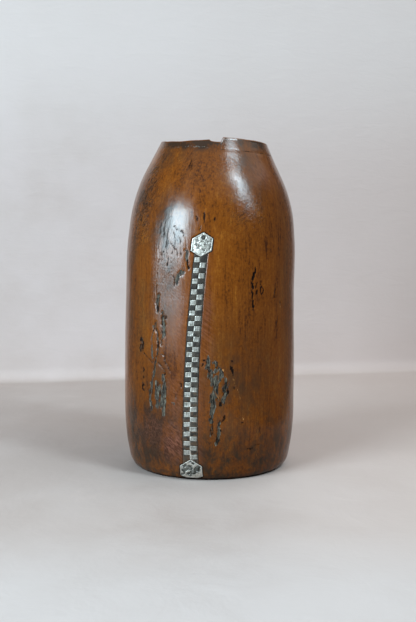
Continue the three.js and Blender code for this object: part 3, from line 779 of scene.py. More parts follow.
def vessel_rows(shares):
    """All rows from the middle of the foot to the middle of the floor, and where walls begin."""
    heights = wall_heights()
    angle = column_angles(heights, shares)
    depth, masks = wood_surface(angle, np.broadcast_to(heights[:, None], angle.shape))
    by_row = [{key: values[i] for key, values in masks.items()} for i in range(len(heights))]
    wall = VesselRows(angle.shape[1], masks)
    wall.add_foot(angle[0], outer_radius(0.0) - FOOT_EDGE - depth[0], by_row[0])
    first_wall_row = len(wall.rows)
    for i, z in enumerate(heights):
        wall.add("wall", angle[i], outer_radius(z) - depth[i], z, by_row[i])
    wall.add_lip(angle[-1])
    first_inner_row = len(wall.rows)
    hollow = heights >= FLOOR
    wall.add_inside(angle[hollow][::-1], heights[hollow][::-1])
    wall.add_floor(angle[hollow][0])
    return wall.rows, heights, first_wall_row, first_inner_row


def runs(flags):
    """Stretches of equal flags, as (first, end, flag)."""
    edges = [0] + [k for k in range(1, len(flags)) if flags[k] != flags[k - 1]] + [len(flags)]
    return [(a, b, flags[a]) for a, b in zip(edges, edges[1:])]


def cell_size(kind, column_kind):
    """Rows and columns that one face takes up."""
    if kind in ("foot", "floor"):
        return 1, 2 if column_kind == "back" else 4
    if kind == "wall" and column_kind == "back":
        return 2, 1
    if kind == "inside" and column_kind != "seam":
        return 4, 4 if column_kind == "far" else 2
    return 1, 1


def row_blocks(kinds, column_kinds):
    """Blocks of cells that become one face each, as (first row, end row, first column, end column).

    Every cell by the seam and in front is a face of its own. Behind and inside they are larger.
    """
    cell_kinds = [after if here in ("foot", "edge") else here for here, after in zip(kinds, kinds[1:])]
    blocks = []
    for top, end, kind in runs(cell_kinds):
        for left, right, column_kind in runs(column_kinds):
            high, wide = cell_size(kind, column_kind)
            for i in range(top, end, high):
                for j in range(left, right, wide):
                    blocks.append((i, min(i + high, end), j, min(j + wide, right)))
    return np.array(blocks)


def seam_holes(heights):
    """Cells of the wall that the crack and the slits leave open, as (row of heights, column)."""
    middles = (heights[1:] + heights[:-1]) / 2
    in_crack = (middles > CRACK_SPAN[0]) & (middles < CRACK_SPAN[1])
    holes = {(i, j) for i in np.flatnonzero(in_crack) for j in CRACK_CELLS}
    for index in range(STITCH_COUNT):
        inside = np.abs(middles - stitch_height(index)) < SLIT_HEIGHT / 2
        columns = LEFT_SLIT_CELLS if stitch_side(index) < 0 else RIGHT_SLIT_CELLS
        holes |= {(i, j) for i in np.flatnonzero(inside) for j in columns}
    return holes


def block_path(first, end, left, right):
    """Points round a block of cells, as (row, column)."""
    path = [(first, j) for j in range(left, right)]
    path += [(i, right) for i in range(first, end)]
    path += [(end, j) for j in range(right, left, -1)]
    return path + [(i, left) for i in range(end, first, -1)]


def hole_walls(holes, number, across_wall):
    """The sides of the slits and of the crack, from the outside through to the inside."""
    walls = []
    for i, j in holes:
        sides = (
            ((i, j), (i, j + 1), (i - 1, j)),
            ((i + 1, j + 1), (i + 1, j), (i + 1, j)),
            ((i + 1, j), (i, j), (i, j - 1)),
            ((i, j + 1), (i + 1, j + 1), (i, j + 1)),
        )
        for start, finish, neighbour in sides:
            if neighbour not in holes:
                inner = [number[across_wall(r), c] for r, c in (finish, start)]
                walls.append([number[start], number[finish], *inner])
    return walls


def used_only(points, polygons, masks):
    """The mesh without the points that no polygon uses."""
    kept = np.unique(np.concatenate([np.asarray(p) for p in polygons]))
    renumber = np.zeros(len(points), int)
    renumber[kept] = np.arange(len(kept))
    polygons = [renumber[np.asarray(p)] for p in polygons]
    return points[kept], polygons, {key: values[kept] for key, values in masks.items()}


def vessel_mesh():
    shares, back = far_column_shares()
    rows, heights, wall_row, inner_row = vessel_rows(shares)
    columns = len(rows[0][1])
    column_kinds = ["seam"] * SEAM_CELLS + ["back" if b else "far" for b in back]
    blocks = row_blocks([row[0] for row in rows], column_kinds)

    used = np.zeros((len(rows), columns), bool)
    for i in (0, 1):
        for j in (2, 3):
            used[blocks[:, i], blocks[:, j] % columns] = True
    number = np.arange(len(rows))[:, None] * columns + np.arange(columns)[None, :]
    number[[0, -1]] = number[[0, -1], :1]  # the middles of the foot and of the floor

    def across_wall(row):
        """The row of the inside that lies against a row of the outside."""
        return inner_row + len(heights) - 1 - (row - wall_row)

    holes = {(wall_row + i, j) for i, j in seam_holes(heights)}
    open_cells = holes | {(across_wall(i) - 1, j) for i, j in holes}
    polygons = []
    for first, end, left, right in blocks.tolist():
        if (first, left) in open_cells:
            continue
        path = block_path(first, end, left, right)
        corners = [int(number[i, j % columns]) for i, j in path if used[i, j % columns]]
        polygons.append([c for k, c in enumerate(corners) if c != corners[k - 1]])
    polygons += hole_walls(holes, number, across_wall)

    angle, radius, z = (np.concatenate([row[k] for row in rows]) for k in (1, 2, 3))
    masks = {key: np.concatenate([row[4][key] for row in rows]) for key in rows[0][4]}
    return used_only(polar_point(angle, radius, z), polygons, masks)


# Pitch in the channel round the stitches

def stitch_shape(index):
    """How one hammered stitch differs from the next: tilt, width, start and puffiness."""
    rng = np.random.default_rng(500 + index)
    low = index / (STITCH_COUNT - 1)
    room = stitch_height(max(index, 1) - 1) - stitch_height(max(index, 1))
    return {
        "tilt": rng.normal(0, 0.15) + rng.choice([0, 0.25, 0.45, -0.45]) * low,
        "half": (room - 0.1) / 2 * rng.uniform(0.93, 1.0),
        "start": rng.uniform(0.0, 0.7) - 0.9 * low,
        "dish": rng.uniform(0.10, 0.22),
        "phase": rng.uniform(0, 10),
    }


STITCHES = [stitch_shape(index) for index in range(STITCH_COUNT)]
LUMPS = Noise(21)
PITCH_SPACING = 0.4  # of its points across the channel
PITCH_ROW_SPACING = 0.42


def pitch_level(flat, across, z):
    """How far the pitch stands out of the wall: uneven, and pressed in under each stitch."""
    level = 0.08 * LUMPS.layers(flat / 1.8, 3) - PITCH_SUNK
    level -= 0.12 * np.clip(LUMPS.at(flat / 5 + 7), 0, 1)
    under = STRIP_PROUD - STRIP_THICKNESS - 0.05
    for index, stitch in enumerate(STITCHES):
        middle = stitch_height(index)
        reach = reach_at(middle)
        out = stitch_side(index) * across
        inside_across = np.minimum(out + 0.4, reach + 0.1 - out)
        inside_up = stitch["half"] + 0.1 - np.abs(z - middle - stitch["tilt"] * across / reach)
        inside = np.minimum(inside_across, inside_up)
        level = lerp(level, under, smoothstep(inside, -0.15, 0.25))
    return np.maximum(level, 0.08 - CHANNEL_DEPTH)


def pitch_mesh():
    shares = subdivided([-1, 1], PITCH_SPACING / (REACH_SPAN[0] + CHANNEL_MARGIN))
    steps = subdivided([0, 1], PITCH_ROW_SPACING / (TOP_STITCH - LOWEST_STITCH))
    share, step = np.meshgrid(shares, steps)
    slant = (FOOT_PLATE_PEAK - FOOT_PLATE_EAVES) / FOOT_PLATE_HALF_WIDTH
    rough_z = lerp(FOOT_PLATE_PEAK, TOP_PLATE_HEIGHT - TOP_PLATE_RADIUS, step)
    across = share * (reach_at(rough_z) + CHANNEL_MARGIN)
    low = FOOT_PLATE_PEAK - np.abs(across) * slant + 0.1
    high = TOP_PLATE_HEIGHT - TOP_PLATE_RADIUS + np.abs(across) * math.tan(math.pi / 6) - 0.1
    z = lerp(low, high, step)
    flat = np.stack([across, 0 * z, z], axis=-1)
    brown = smoothstep(LUMPS.layers(flat / 2.4 + 30, 3) + smoothstep(z, 110, 40) - 0.75, -0.1, 0.5)
    level = pitch_level(flat, across, z)
    level = np.where(1 - np.abs(share) < 1e-6, level + 0.05, level)
    top = seam_point(across, outer_radius(z) + level, z).reshape(-1, 3)
    bottom = seam_point(across, outer_radius(z) - CHANNEL_DEPTH + 0.02, z).reshape(-1, 3)
    return slab_mesh(top, bottom, *across.shape, {"brown": brown.ravel()})


def slab_mesh(top, bottom, rows, columns, masks):
    """A closed slab from a grid of points on its face and the same grid on its back."""
    face = grid_quads(rows, columns)
    back = face[:, ::-1] + rows * columns
    rim = np.concatenate([
        np.arange(columns - 1),
        np.arange(rows - 1) * columns + columns - 1,
        rows * columns - 1 - np.arange(columns - 1),
        (rows - 1 - np.arange(rows - 1)) * columns,
    ])
    following = np.roll(rim, -1)
    walls = np.stack([following, rim, rim + rows * columns, following + rows * columns], axis=1)
    doubled = {key: np.concatenate([values, values]) for key, values in masks.items()}
    return np.concatenate([top, bottom]), np.concatenate([face, back, walls]), doubled


# Lacing strips

BEND = 0.62  # radius of the strip's middle line where it folds
CROWN_SPACING = 0.36  # of the rings where a stitch shows
HIDDEN_SPACING = 3.2
THIN_EDGE = {1: 0.5, 0.93: 0.93}  # share of the thickness left at the rounded edges
STRIP_SHARES = [-1, -0.93, -0.8, -0.6, -0.4, -0.2, 0, 0.2, 0.4, 0.6, 0.8, 0.93, 1]


def rounded_path(corners):
    """Points along a line through corners whose bends are arcs.

    A corner is (across, depth, height, stitch), and only the first two are rounded.
    """
    corners = np.asarray(corners, float)
    samples = [(corners[0], 0)]
    for k in range(1, len(corners) - 1):
        here = corners[k]
        before, after = corners[k - 1, :2] - here[:2], corners[k + 1, :2] - here[:2]
        entry = here[:2] + before / np.linalg.norm(before) * BEND
        leave = here[:2] + after / np.linalg.norm(after) * BEND
        for t in (0, 0.3, 0.7, 1):
            flat = (1 - t) ** 2 * entry + 2 * t * (1 - t) * here[:2] + t * t * leave
            samples.append((np.concatenate([flat, here[2:]]), k))
    samples.append((corners[-1], len(corners) - 1))
    points = [samples[0][0]]
    for (a, corner_a), (b, corner_b) in zip(samples, samples[1:]):
        count = 1
        if corner_a != corner_b:
            spacing = CROWN_SPACING if a[1] > -1.0 and b[1] > -1.0 else HIDDEN_SPACING
            count = max(1, math.ceil(np.linalg.norm(b[:2] - a[:2]) / spacing))
        points += [lerp(a, b, n / count) for n in range(1, count + 1)]
    return np.array(points)


def level_radius(depth, z):
    """Radius of a strip's middle: depth 0 is outside, and -1 is on the inside of the wall."""
    outside = outer_radius(z) + STRIP_PROUD - STRIP_THICKNESS / 2
    inside = inner_radius(z) - CLEARANCE - STRIP_THICKNESS / 2
    return lerp(outside, inside, -depth)


def strip_corners(first, last, through):
    """Corners of a strip's line: up through the crack, over to a slit, down it, and back."""
    corners = [(-stitch_side(first) * TAIL_LENGTH, -through, stitch_height(first), first)]
    for index in range(first, last + 1):
        z, side = stitch_height(index), stitch_side(index)
        start = side * STITCHES[index]["start"] * 0.5
        far = side * (reach_at(z) - STRIP_THICKNESS / 2)
        spots = [(0.0, -through), (start, 0.0), (far, 0.0), (far, -through)]
        corners += [(across, depth, z, index) for across, depth in spots]
    far = stitch_side(last) * (reach_at(stitch_height(last)) - STRIP_THICKNESS / 2 - TAIL_LENGTH)
    return corners + [(far, -through, stitch_height(last), last)]


def strip_mesh(strip):
    """A flat strip whose outside runs are hammered hollow and marked by the chisel."""
    per_strip = STITCH_COUNT // STRIP_COUNT
    first = strip * per_strip
    last = first + per_strip - 1
    through = float(level_radius(0, 100.0) - level_radius(-1, 100.0))
    path = rounded_path(strip_corners(first, last, through))
    across, depth, height, stitch = path.T

    way = np.gradient(path[:, :2], axis=0)
    way /= np.linalg.norm(way, axis=1, keepdims=True)
    index = np.clip(np.round(stitch).astype(int), first, last)
    side = np.array([stitch_side(i) for i in index])
    reach = reach_at(height)
    shape = {key: np.array([STITCHES[i][key] for i in index]) for key in STITCHES[0]}
    outside_share = smoothstep(depth, -0.9, -0.1)
    half = lerp(STRIP_WIDTH / 2 - 0.05, shape["half"], outside_share)
    tilt = shape["tilt"] * outside_share * across / reach
    u = np.clip(side * across / reach, 0, 1)

    rings, soil = [], []
    faces = [(v, 1) for v in STRIP_SHARES] + [(v, -1) for v in STRIP_SHARES[::-1]]
    for v, face in faces:
        thick = STRIP_THICKNESS / 2 * THIN_EDGE.get(abs(v), 1)
        z = height + tilt + v * half
        spot = np.stack([across, 0 * z, z], axis=-1)
        facing_out = outside_share * (side * face > 0)
        bowl = (1 - np.abs(2 * u - 1) ** 5) * (1 - abs(v) ** 5)
        dents = LUMPS.layers(spot / 1.3 + shape["phase"][:, None], 2)
        chisel = np.cos(2 * math.pi * (u * 3.6 + 0.06 * dents)) * smoothstep(index, 2, 14)
        low = shape["dish"] * bowl + 0.07 * dents * bowl + 0.06 * np.clip(chisel, 0, 1) * bowl
        offset = face * (thick - facing_out * np.clip(low, -0.05, 0.4))
        radius = level_radius((depth + way[:, 0] * offset) / through, z)
        rings.append(seam_point(across - way[:, 1] * offset, radius, z))
        dirty = 0.46 + 0.35 * smoothstep(0.5 * dents + 0.6 * np.clip(chisel, 0, 1), 0.05, 0.6)
        soil.append(np.maximum(dirty * facing_out * bowl, 1 - outside_share))
    points = np.stack(rings, axis=1)
    rows, columns = points.shape[:2]
    polygons = grid_quads(rows, columns, closed_columns=True).tolist()
    polygons.append(list(range(columns))[::-1])
    polygons.append(list(range((rows - 1) * columns, rows * columns)))
    return points.reshape(-1, 3), polygons, {"soil": np.stack(soil, axis=1).ravel()}


# Plates and pins

OUTLINE_POINTS = 168
PLATE_RINGS = np.concatenate([np.linspace(0.02, 0.9, 40), [0.925, 0.95, 0.975, 1.0]])
PIN_PROFILE = [(0.3, 0.30), (0.55, 0.24), (0.68, 0.12), (0.72, 0.0), (0.70, -0.2)]
PIN_SIDES = 20


def outline_of(corners, count):
    """Points all round a polygon, with each corner kept."""
    corners = np.asarray(corners, float)
    per_side = count // len(corners)
    share = np.arange(per_side)[:, None] / per_side
    return np.concatenate([lerp(a, b, share) for a, b in zip(corners, np.roll(corners, -1, axis=0))])


def capped_rings(rings, columns):
    """Polygons of a row of rings, closed by fans to the two points that come after them."""
    polygons = grid_quads(rings, columns, closed_columns=True).tolist()
    first, last = rings * columns, rings * columns + 1
    end = (rings - 1) * columns
    for j in range(columns):
        on = (j + 1) % columns
        polygons.append([on, j, first])
        polygons.append([end + j, end + on, last])
    return polygons


def plate_face(across, z, inset, pits, holes, seed):
    """Level and soil of a hammered, pitted face, with a dark dimple at each hole: the joint round a pin, and
    painted shade in the empty hole.
    """
    noise = Noise(seed)
    spot = np.stack([across, 0 * z, z], axis=-1)
    level = PLATE_PROUD + 0.05 * noise.layers(spot / 3.4, 2) + 0.02 * noise.layers(spot / 1.1 + 5, 2)
    level -= 0.14 * smoothstep(inset, 0.5, 1.5)
    level -= 0.22 * smoothstep(inset, 0.3, 0.0)
    patches = noise.layers(spot / pits["size"] + 11, 3)
    pitted = smoothstep(patches, *pits["span"])
    for at, rise, radius in pits["blots"]:
        away = np.hypot(0.75 * (across - at), z - rise) + 0.5 * patches
        pitted = np.maximum(pitted, smoothstep(away, radius * 1.5, radius * 1.05))
    pitted = pitted * smoothstep(inset, 0.2, 0.9)
    level -= pits["depth"] * pitted
    soil = pits["soil"] * pitted
    for at, rise, radius, deep in holes:
        away = np.hypot(across - at, z - rise)
        level -= deep * smoothstep(away, radius * 1.15, radius * 0.75)
        level += 0.06 * np.exp(-(((away - radius * 1.5) / 0.4) ** 2))
        # at each pin this dark is the joint; in the empty hole, a shallow dimple, it is painted shade of the
        # open hole
        soil = np.maximum(soil, smoothstep(away, radius * 1.3, radius * 0.8))
    return np.maximum(level, PLATE_PROUD - PLATE_THICKNESS + 0.05), soil


def plate_mesh(corners, middle, pits, holes, seed):
    """A plate: rings from its middle to its bevelled outline, then its back."""
    outline = outline_of(corners, OUTLINE_POINTS)
    middle = np.array(middle)
    flat = middle + PLATE_RINGS[:, None, None] * (outline[None] - middle)
    across, z = flat[..., 0], flat[..., 1]
    inset = (1 - PLATE_RINGS[:, None]) * np.linalg.norm(outline - middle, axis=1)[None]
    level, soil = plate_face(across, z, inset, pits, holes, seed)
    top = seam_point(across, outer_radius(z) + level, z)
    under_level = PLATE_PROUD - PLATE_THICKNESS
    under = seam_point(across[-1], outer_radius(z[-1]) + under_level, z[-1])
    centres = [
        seam_point(middle[0], outer_radius(middle[1]) + out, middle[1])
        for out in (level[0].mean(), under_level)
    ]
    count, columns = top.shape[:2]
    points = np.concatenate([top.reshape(-1, 3), under, centres])
    soil = np.concatenate([soil.ravel(), np.ones(columns), [soil[0].mean(), 1]])
    return points, capped_rings(count + 1, columns), {"soil": soil}


def pin_mesh(across, z, seed):
    """A headless pin, hammered over a little at its outer end."""
    head = len(PIN_PROFILE)
    profile = PIN_PROFILE + [(PIN_RADIUS, 1.5 - PIN_LENGTH), (0.35, 0.7 - PIN_LENGTH)]
    turns = np.arange(PIN_SIDES) / PIN_SIDES * 2 * math.pi
    rings = []
    for radius, out in profile:
        wide = radius * (1 + 0.08 * np.sin(turns * 2 + seed) * (out > -0.3))
        rings.append(np.stack([wide * np.cos(turns), wide * np.sin(turns), 0 * turns + out], axis=-1))
    flat = np.array(rings)
    flat[:head, :, 2] += 0.04 * Noise(seed).at(flat[:head] / 0.6)
    ends = np.array([[0, 0, PIN_PROFILE[0][1]], [0, 0, -PIN_LENGTH]])
    local = np.concatenate([flat.reshape(-1, 3), ends])
    face = seam_point(across, outer_radius(z) + PLATE_PROUD - 0.12, z)
    outward = polar_point(seam_angle(z) + across / outer_radius(z), 1.0, 0 * z)
    outward = outward / np.linalg.norm(outward)
    sideways = np.array([-outward[1], outward[0], 0])
    points = face + local[:, :1] * sideways + local[:, 1:2] * np.array([0, 0, 1]) + local[:, 2:] * outward
    return points, capped_rings(*flat.shape[:2])


# Materials

WOOD_COLOURS = {
    "deep": (0.050, 0.013, 0.003),
    "plain": (0.182, 0.048, 0.004),
    "bright": (0.32, 0.104, 0.010),
    "fleck": (0.034, 0.012, 0.004),
    # dusky: dark wood, and painted shade round the foot and on the left
    "dusky": (0.036, 0.017, 0.009),
    "soiled": (0.028, 0.020, 0.012),
    "ruddy_low": (0.070, 0.021, 0.011),
    "ruddy_high": (0.215, 0.078, 0.046),
    "inside_low": (0.030, 0.016, 0.009),
    "inside_high": (0.085, 0.047, 0.024),
    "crazing": (0.018, 0.008, 0.004),
    "weathered_low": (0.010, 0.008, 0.006),
    "weathered_high": (0.062, 0.053, 0.040),
    "weathered_pale": (0.155, 0.14, 0.108),
    "scraped": (0.42, 0.19, 0.055),
    # cut also colours the painted contact shadow at the foot
    "cut": (0.008, 0.005, 0.004),
}
METAL_BRIGHT = (0.66, 0.635, 0.58)
METAL_STAINED = (0.43, 0.405, 0.355)
METAL_SCRATCHED = (0.25, 0.24, 0.22)
METAL_SOIL = (0.020, 0.017, 0.012)
PITCH_BLACK = (0.016, 0.012, 0.009)
PITCH_DUSTY = (0.064, 0.050, 0.035)
PITCH_BROWN = (0.070, 0.038, 0.020)
IRON_BRIGHT = (0.30, 0.29, 0.27)
IRON_RUST = (0.060, 0.045, 0.034)


class Finish:
    """A material and short ways to build its pattern from the object's own coordinates."""

    def __init__(self, name):
        self.material = bpy.data.materials.new(name)
        self.material.use_nodes = True
        self.tree = self.material.node_tree
        self.shader = self.tree.nodes["Principled BSDF"]
        self.place = self.node("ShaderNodeTexCoord").outputs["Object"]

    def node(self, kind, inputs=None, **settings):
        node = self.tree.nodes.new(kind)
        for key, value in settings.items():
            setattr(node, key, value)
        for key, value in (inputs or {}).items():
            self.put(node.inputs[key], value)
        return node

    def put(self, socket, value):
        if isinstance(value, bpy.types.NodeSocket):
            self.tree.links.new(value, socket)
        else:
            socket.default_value = value

    def mapped(self, stretch=(1, 1, 1), shift=0.0, turn=(0, 0, 0)):
        node = self.node("ShaderNodeMapping", {"Vector": self.place}, vector_type="TEXTURE")
        node.inputs["Scale"].default_value = [1 / s for s in stretch]
        node.inputs["Location"].default_value = (shift, shift, shift)
        node.inputs["Rotation"].default_value = turn
        return node.outputs["Vector"]

    def noise(self, scale, stretch=(1, 1, 1), shift=0.0, detail=3.0, rough=0.5, bend=0.0, turn=(0, 0, 0)):
        inputs = {
            "Vector": self.mapped(stretch, shift, turn),
            "Scale": scale,
            "Detail": detail,
            "Roughness": rough,
            "Distortion": bend,
        }
        return self.node("ShaderNodeTexNoise", inputs).outputs["Fac"]

    def mask(self, name):
        return self.node("ShaderNodeAttribute", attribute_name=name).outputs["Fac"]

    def away(self, place):
        """Distance from a place, in metres."""
        node = self.node("ShaderNodeVectorMath", {0: self.place}, operation="DISTANCE")
        node.inputs[1].default_value = place
        return node.outputs["Value"]

    def math(self, operation, a, b=0.0, clamp=False):
        node = self.node("ShaderNodeMath", operation=operation, use_clamp=clamp)
        self.put(node.inputs[0], a)
        self.put(node.inputs[1], b)
        return node.outputs[0]

    def times(self, a, b, clamp=False):
        return self.math("MULTIPLY", a, b, clamp)

    def plus(self, a, b):
        return self.math("ADD", a, b)

    def range(self, value, low, high, to_low=0.0, to_high=1.0):
        inputs = {"Value": value, "From Min": low, "From Max": high, "To Min": to_low, "To Max": to_high}
        return self.node("ShaderNodeMapRange", inputs, interpolation_type="SMOOTHSTEP").outputs[0]

    def mix(self, share, a, b, blend="MIX"):
        node = self.node("ShaderNodeMix", data_type="RGBA", blend_type=blend)
        colours = [(*c, 1) if isinstance(c, tuple) else c for c in (a, b)]
        self.put(node.inputs[0], share)
        self.put(node.inputs[6], colours[0])
        self.put(node.inputs[7], colours[1])
        return node.outputs[2]

    def broken(self, mask, noise, low, high):
        """A mask whose edges and middle are broken up by a pattern."""
        node = self.node("ShaderNodeMath", operation="MULTIPLY_ADD")
        for socket, value in zip(node.inputs, (noise, 2.2, -0.1)):
            self.put(socket, value)
        return self.range(self.times(mask, node.outputs[0]), low, high)

    def bump(self, height, distance):
        """A relief of that depth in metres."""
        return self.node("ShaderNodeBump", {"Height": height, "Distance": distance}).outputs["Normal"]

    def finish(self, **inputs):
        for key, value in inputs.items():
            key = key.replace("_", " ")
            value = (*value, 1) if isinstance(value, tuple) else value
            self.put(self.shader.inputs[key], value)
        return self.material


def wood_patterns(f):
    return {
        "figure": f.noise(42, (1, 1, 0.22), detail=3, bend=0.8),
        "streaks": f.noise(360, (1, 1, 0.06), 3.1, detail=4, rough=0.65, bend=0.3),
        "fibres": f.noise(1150, (1, 1, 0.05), 7.7, detail=3, rough=0.65),
        "mottle": f.noise(115, (1, 1, 0.55), 1.3, detail=6, rough=0.68, bend=0.4),
        "pores": f.noise(640, (1, 1, 0.7), 4.6, detail=3, rough=0.7),
        "soiling": f.noise(260, (1, 1, 0.7), 6.4, detail=6, rough=0.78),
        "flecks": f.noise(780, (1, 1, 0.4), 5.9, detail=4, rough=0.7, bend=0.3),
        "strokes": f.noise(1000, (1, 1, 0.08), 9.2, detail=2, turn=(0, -0.95, 0)),
        "threads": f.noise(760, (1, 1, 0.22), 2.6, detail=4, rough=0.75, bend=0.7),
        "crumbs": f.noise(820, (1, 1, 0.28), 8.8, detail=4, rough=0.7, bend=0.4),
        "ripples": f.noise(420, (1, 1, 0.3), 11.3, detail=4, rough=0.65, bend=0.9, turn=(0, 0.9, 0)),
    }


def plain_wood(f, pattern, tint):
    """Colour of sound wood, before anything has stained or hurt it."""
    weights = {"figure": 0.5, "streaks": 0.5, "fibres": 0.5, "mottle": 0.8, "pores": 0.65}
    tone = 0.5
    for name, weight in weights.items():
        tone = f.plus(f.times(f.math("SUBTRACT", pattern[name], 0.5), weight), tone)
    colour = f.mix(f.range(tone, 0.16, 0.52), tint["deep"], tint["plain"])
    colour = f.mix(f.range(tone, 0.48, 0.92), colour, tint["bright"])
    return f.mix(f.range(pattern["flecks"], 0.56, 0.72, 0, 0.36), colour, tint["fleck"])


def stained_and_painted_shade_wood(f, pattern, tint, colour):
    """The dusky places, which hold painted shade round the foot and on the left, the soiled and rubbed
    places, and the unpolished inside.
    """
    mottle = pattern["mottle"]
    # the dusky mask paints shade round the foot and on the left, as well as darkening the wood
    dusky = f.times(f.mask("dusky"), f.range(mottle, 0.36, 0.64, 0.35, 1.1), clamp=True)
    colour = f.mix(dusky, colour, tint["dusky"])
    soil = f.times(f.mask("dull"), f.range(pattern["soiling"], 0.47, 0.60, 0, 0.65))
    colour = f.mix(soil, colour, tint["soiled"])
    ruddy = f.times(f.mask("ruddy"), f.range(mottle, 0.3, 0.7, 0.35, 1.0))
    rubbed = f.mix(f.range(pattern["strokes"], 0.34, 0.66), tint["ruddy_low"], tint["ruddy_high"])
    colour = f.mix(ruddy, colour, rubbed)
    bare = f.mix(pattern["streaks"], tint["inside_low"], tint["inside_high"])
    return f.mix(f.mask("inside"), colour, bare)


def hurt_wood(f, pattern, tint, colour, grey, dark):
    """Crazing, weathered gouges, scraped edges, the dark bottoms of cuts, and the painted contact shadow at
    the foot.
    """
    threads = pattern["threads"]
    off_middle = f.math("ABSOLUTE", f.math("SUBTRACT", pattern["ripples"], 0.5))
    lines = f.range(off_middle, 0.0, 0.06, 1, 0)
    crazed = f.times(f.mask("crazed"), f.range(pattern["mottle"], 0.36, 0.56, 0.15, 1.0))
    colour = f.mix(f.times(crazed, lines), colour, tint["crazing"])
    weathered = f.mix(f.range(threads, 0.44, 0.51), tint["weathered_low"], tint["weathered_high"])
    weathered = f.mix(f.range(threads, 0.53, 0.62), weathered, tint["weathered_pale"])
    colour = f.mix(grey, colour, weathered)
    colour = f.mix(f.broken(f.mask("light"), pattern["crumbs"], 0.3, 0.7), colour, tint["scraped"])
    return f.mix(dark, colour, tint["cut"])


def wood_gloss(f, grey, dark):
    """Less gloss low down, where the finish has gone, and in gouges and cuts."""
    gloss = f.range(f.mask("dull"), 0.1, 0.9, 0.46, 0.11)
    cut = f.math("MAXIMUM", dark, f.times(f.mask("dark"), 0.7))
    cut = f.math("MAXIMUM", cut, f.times(grey, 0.45))
    return f.times(gloss, f.range(cut, 0, 0.7, 1.0, 0.1))


def wood_roughness(f, pattern, grey, dark):
    rough = f.range(pattern["mottle"], 0.3, 0.7, 0.16, 0.24)
    rough = f.plus(rough, f.times(f.math("MAXIMUM", grey, dark), 0.25))
    return f.plus(rough, f.times(f.mask("inside"), 0.3))


def wood_relief(f, pattern, grey):
    relief = f.times(pattern["fibres"], 0.3)
    for name, weight in {"streaks": 0.55, "strokes": 0.3, "mottle": 0.4}.items():
        relief = f.plus(relief, f.times(pattern[name], weight))
    relief = f.plus(relief, f.times(f.times(pattern["threads"], grey), 1.8))
    return f.plus(relief, f.times(f.times(pattern["ripples"], f.mask("crazed")), 2.2))


def wood_material():
    f = Finish("wood")
    pattern = wood_patterns(f)
    tint = WOOD_COLOURS
    grey = f.broken(f.mask("grey"), pattern["threads"], 0.24, 0.44)
    dark = f.broken(f.mask("dark"), pattern["crumbs"], 0.30, 0.7)
    colour = plain_wood(f, pattern, tint)
    colour = stained_and_painted_shade_wood(f, pattern, tint, colour)
    return f.finish(
        Base_Color=hurt_wood(f, pattern, tint, colour, grey, dark),
        Roughness=wood_roughness(f, pattern, grey, dark),
        Specular_IOR_Level=wood_gloss(f, grey, dark),
        Normal=f.bump(wood_relief(f, pattern, grey), 0.00015),
    )


def metal_material():
    f = Finish("aluminium")
    stains = f.noise(420, detail=4, rough=0.6)
    scratches = f.noise(2600, (1, 1, 0.12), 4.4, detail=2, turn=(0, 0.5, 0))
    soil = f.times(f.mask("soil"), f.range(stains, 0.25, 0.6, 0.7, 1.0))
    bright = f.mix(f.range(stains, 0.35, 0.7), METAL_BRIGHT, METAL_STAINED)
    bright = f.mix(f.range(scratches, 0.55, 0.75, 0, 0.35), bright, METAL_SCRATCHED)
    return f.finish(
        Base_Color=f.mix(soil, bright, METAL_SOIL),
        Metallic=f.range(soil, 0.2, 0.9, 1.0, 0.2),
        Specular_IOR_Level=f.range(soil, 0.2, 0.9, 0.5, 0.1),
        Roughness=f.plus(f.range(stains, 0.3, 0.7, 0.36, 0.52), f.times(soil, 0.25)),
        Normal=f.bump(f.plus(f.times(scratches, 0.5), stains), 0.0001),
    )


def pitch_material():
    f = Finish("pitch")
    grit = f.noise(1500, detail=4, rough=0.7)
    dust = f.noise(260, shift=2.2, detail=4, rough=0.6)
    colour = f.mix(f.range(dust, 0.4, 0.75), PITCH_BLACK, PITCH_DUSTY)
    brown = f.times(f.mask("brown"), f.range(grit, 0.3, 0.6, 0.5, 1.0))
    return f.finish(
        Base_Color=f.mix(brown, colour, PITCH_BROWN),
        Roughness=f.range(grit, 0.3, 0.7, 0.42, 0.7),
        Specular_IOR_Level=0.3,
        Normal=f.bump(grit, 0.00012),
    )


def iron_material():
    f = Finish("iron")
    rust = f.noise(1300, detail=4, rough=0.65)
    return f.finish(
        Base_Color=f.mix(f.range(rust, 0.42, 0.62), IRON_BRIGHT, IRON_RUST),
        Metallic=f.range(rust, 0.4, 0.65, 0.9, 0.2),
        Roughness=f.range(rust, 0.3, 0.7, 0.38, 0.7),
        Normal=f.bump(rust, 0.00006),
    )


# Pieces

def add_piece(name, mesh, material, slot, *nodes):
    points, polygons, *masks = mesh
    piece = make_piece(name, points, polygons, material, masks[0] if masks else None)
    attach(piece, "root")
    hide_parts(*nodes)
    return piece


def build_vessel(wood, pitch):
    add_piece("vessel", vessel_mesh(), wood, "wood", "vessel_body")
    add_piece("pitch", pitch_mesh(), pitch, "pitch", "pitch_seal")


def build_lacing(metal):
    for strip in range(STRIP_COUNT):
        name = f"lacing_strip_{strip + 1}"
        add_piece(f"lacing_{strip + 1}", strip_mesh(strip), metal, "aluminium", name)


TOP_PITS = {"size": 2.6, "span": (-0.05, 0.4), "depth": 0.18, "soil": 0.8, "blots": []}
FOOT_PITS = {"size": 3.4, "span": (0.12, 0.3), "depth": 0.22, "soil": 1.0, "blots": FOOT_BLOTS}
FOOT_RINGS_HEIGHT = 8.9  # middle of the rings of the foot plate
PIN_DIMPLE = (0.8, 0.15)  # radius and depth
# the empty hole is a shallow dimple coloured dark: painted shade of an open hole
EMPTY_DIMPLE = (1.55, 0.8)


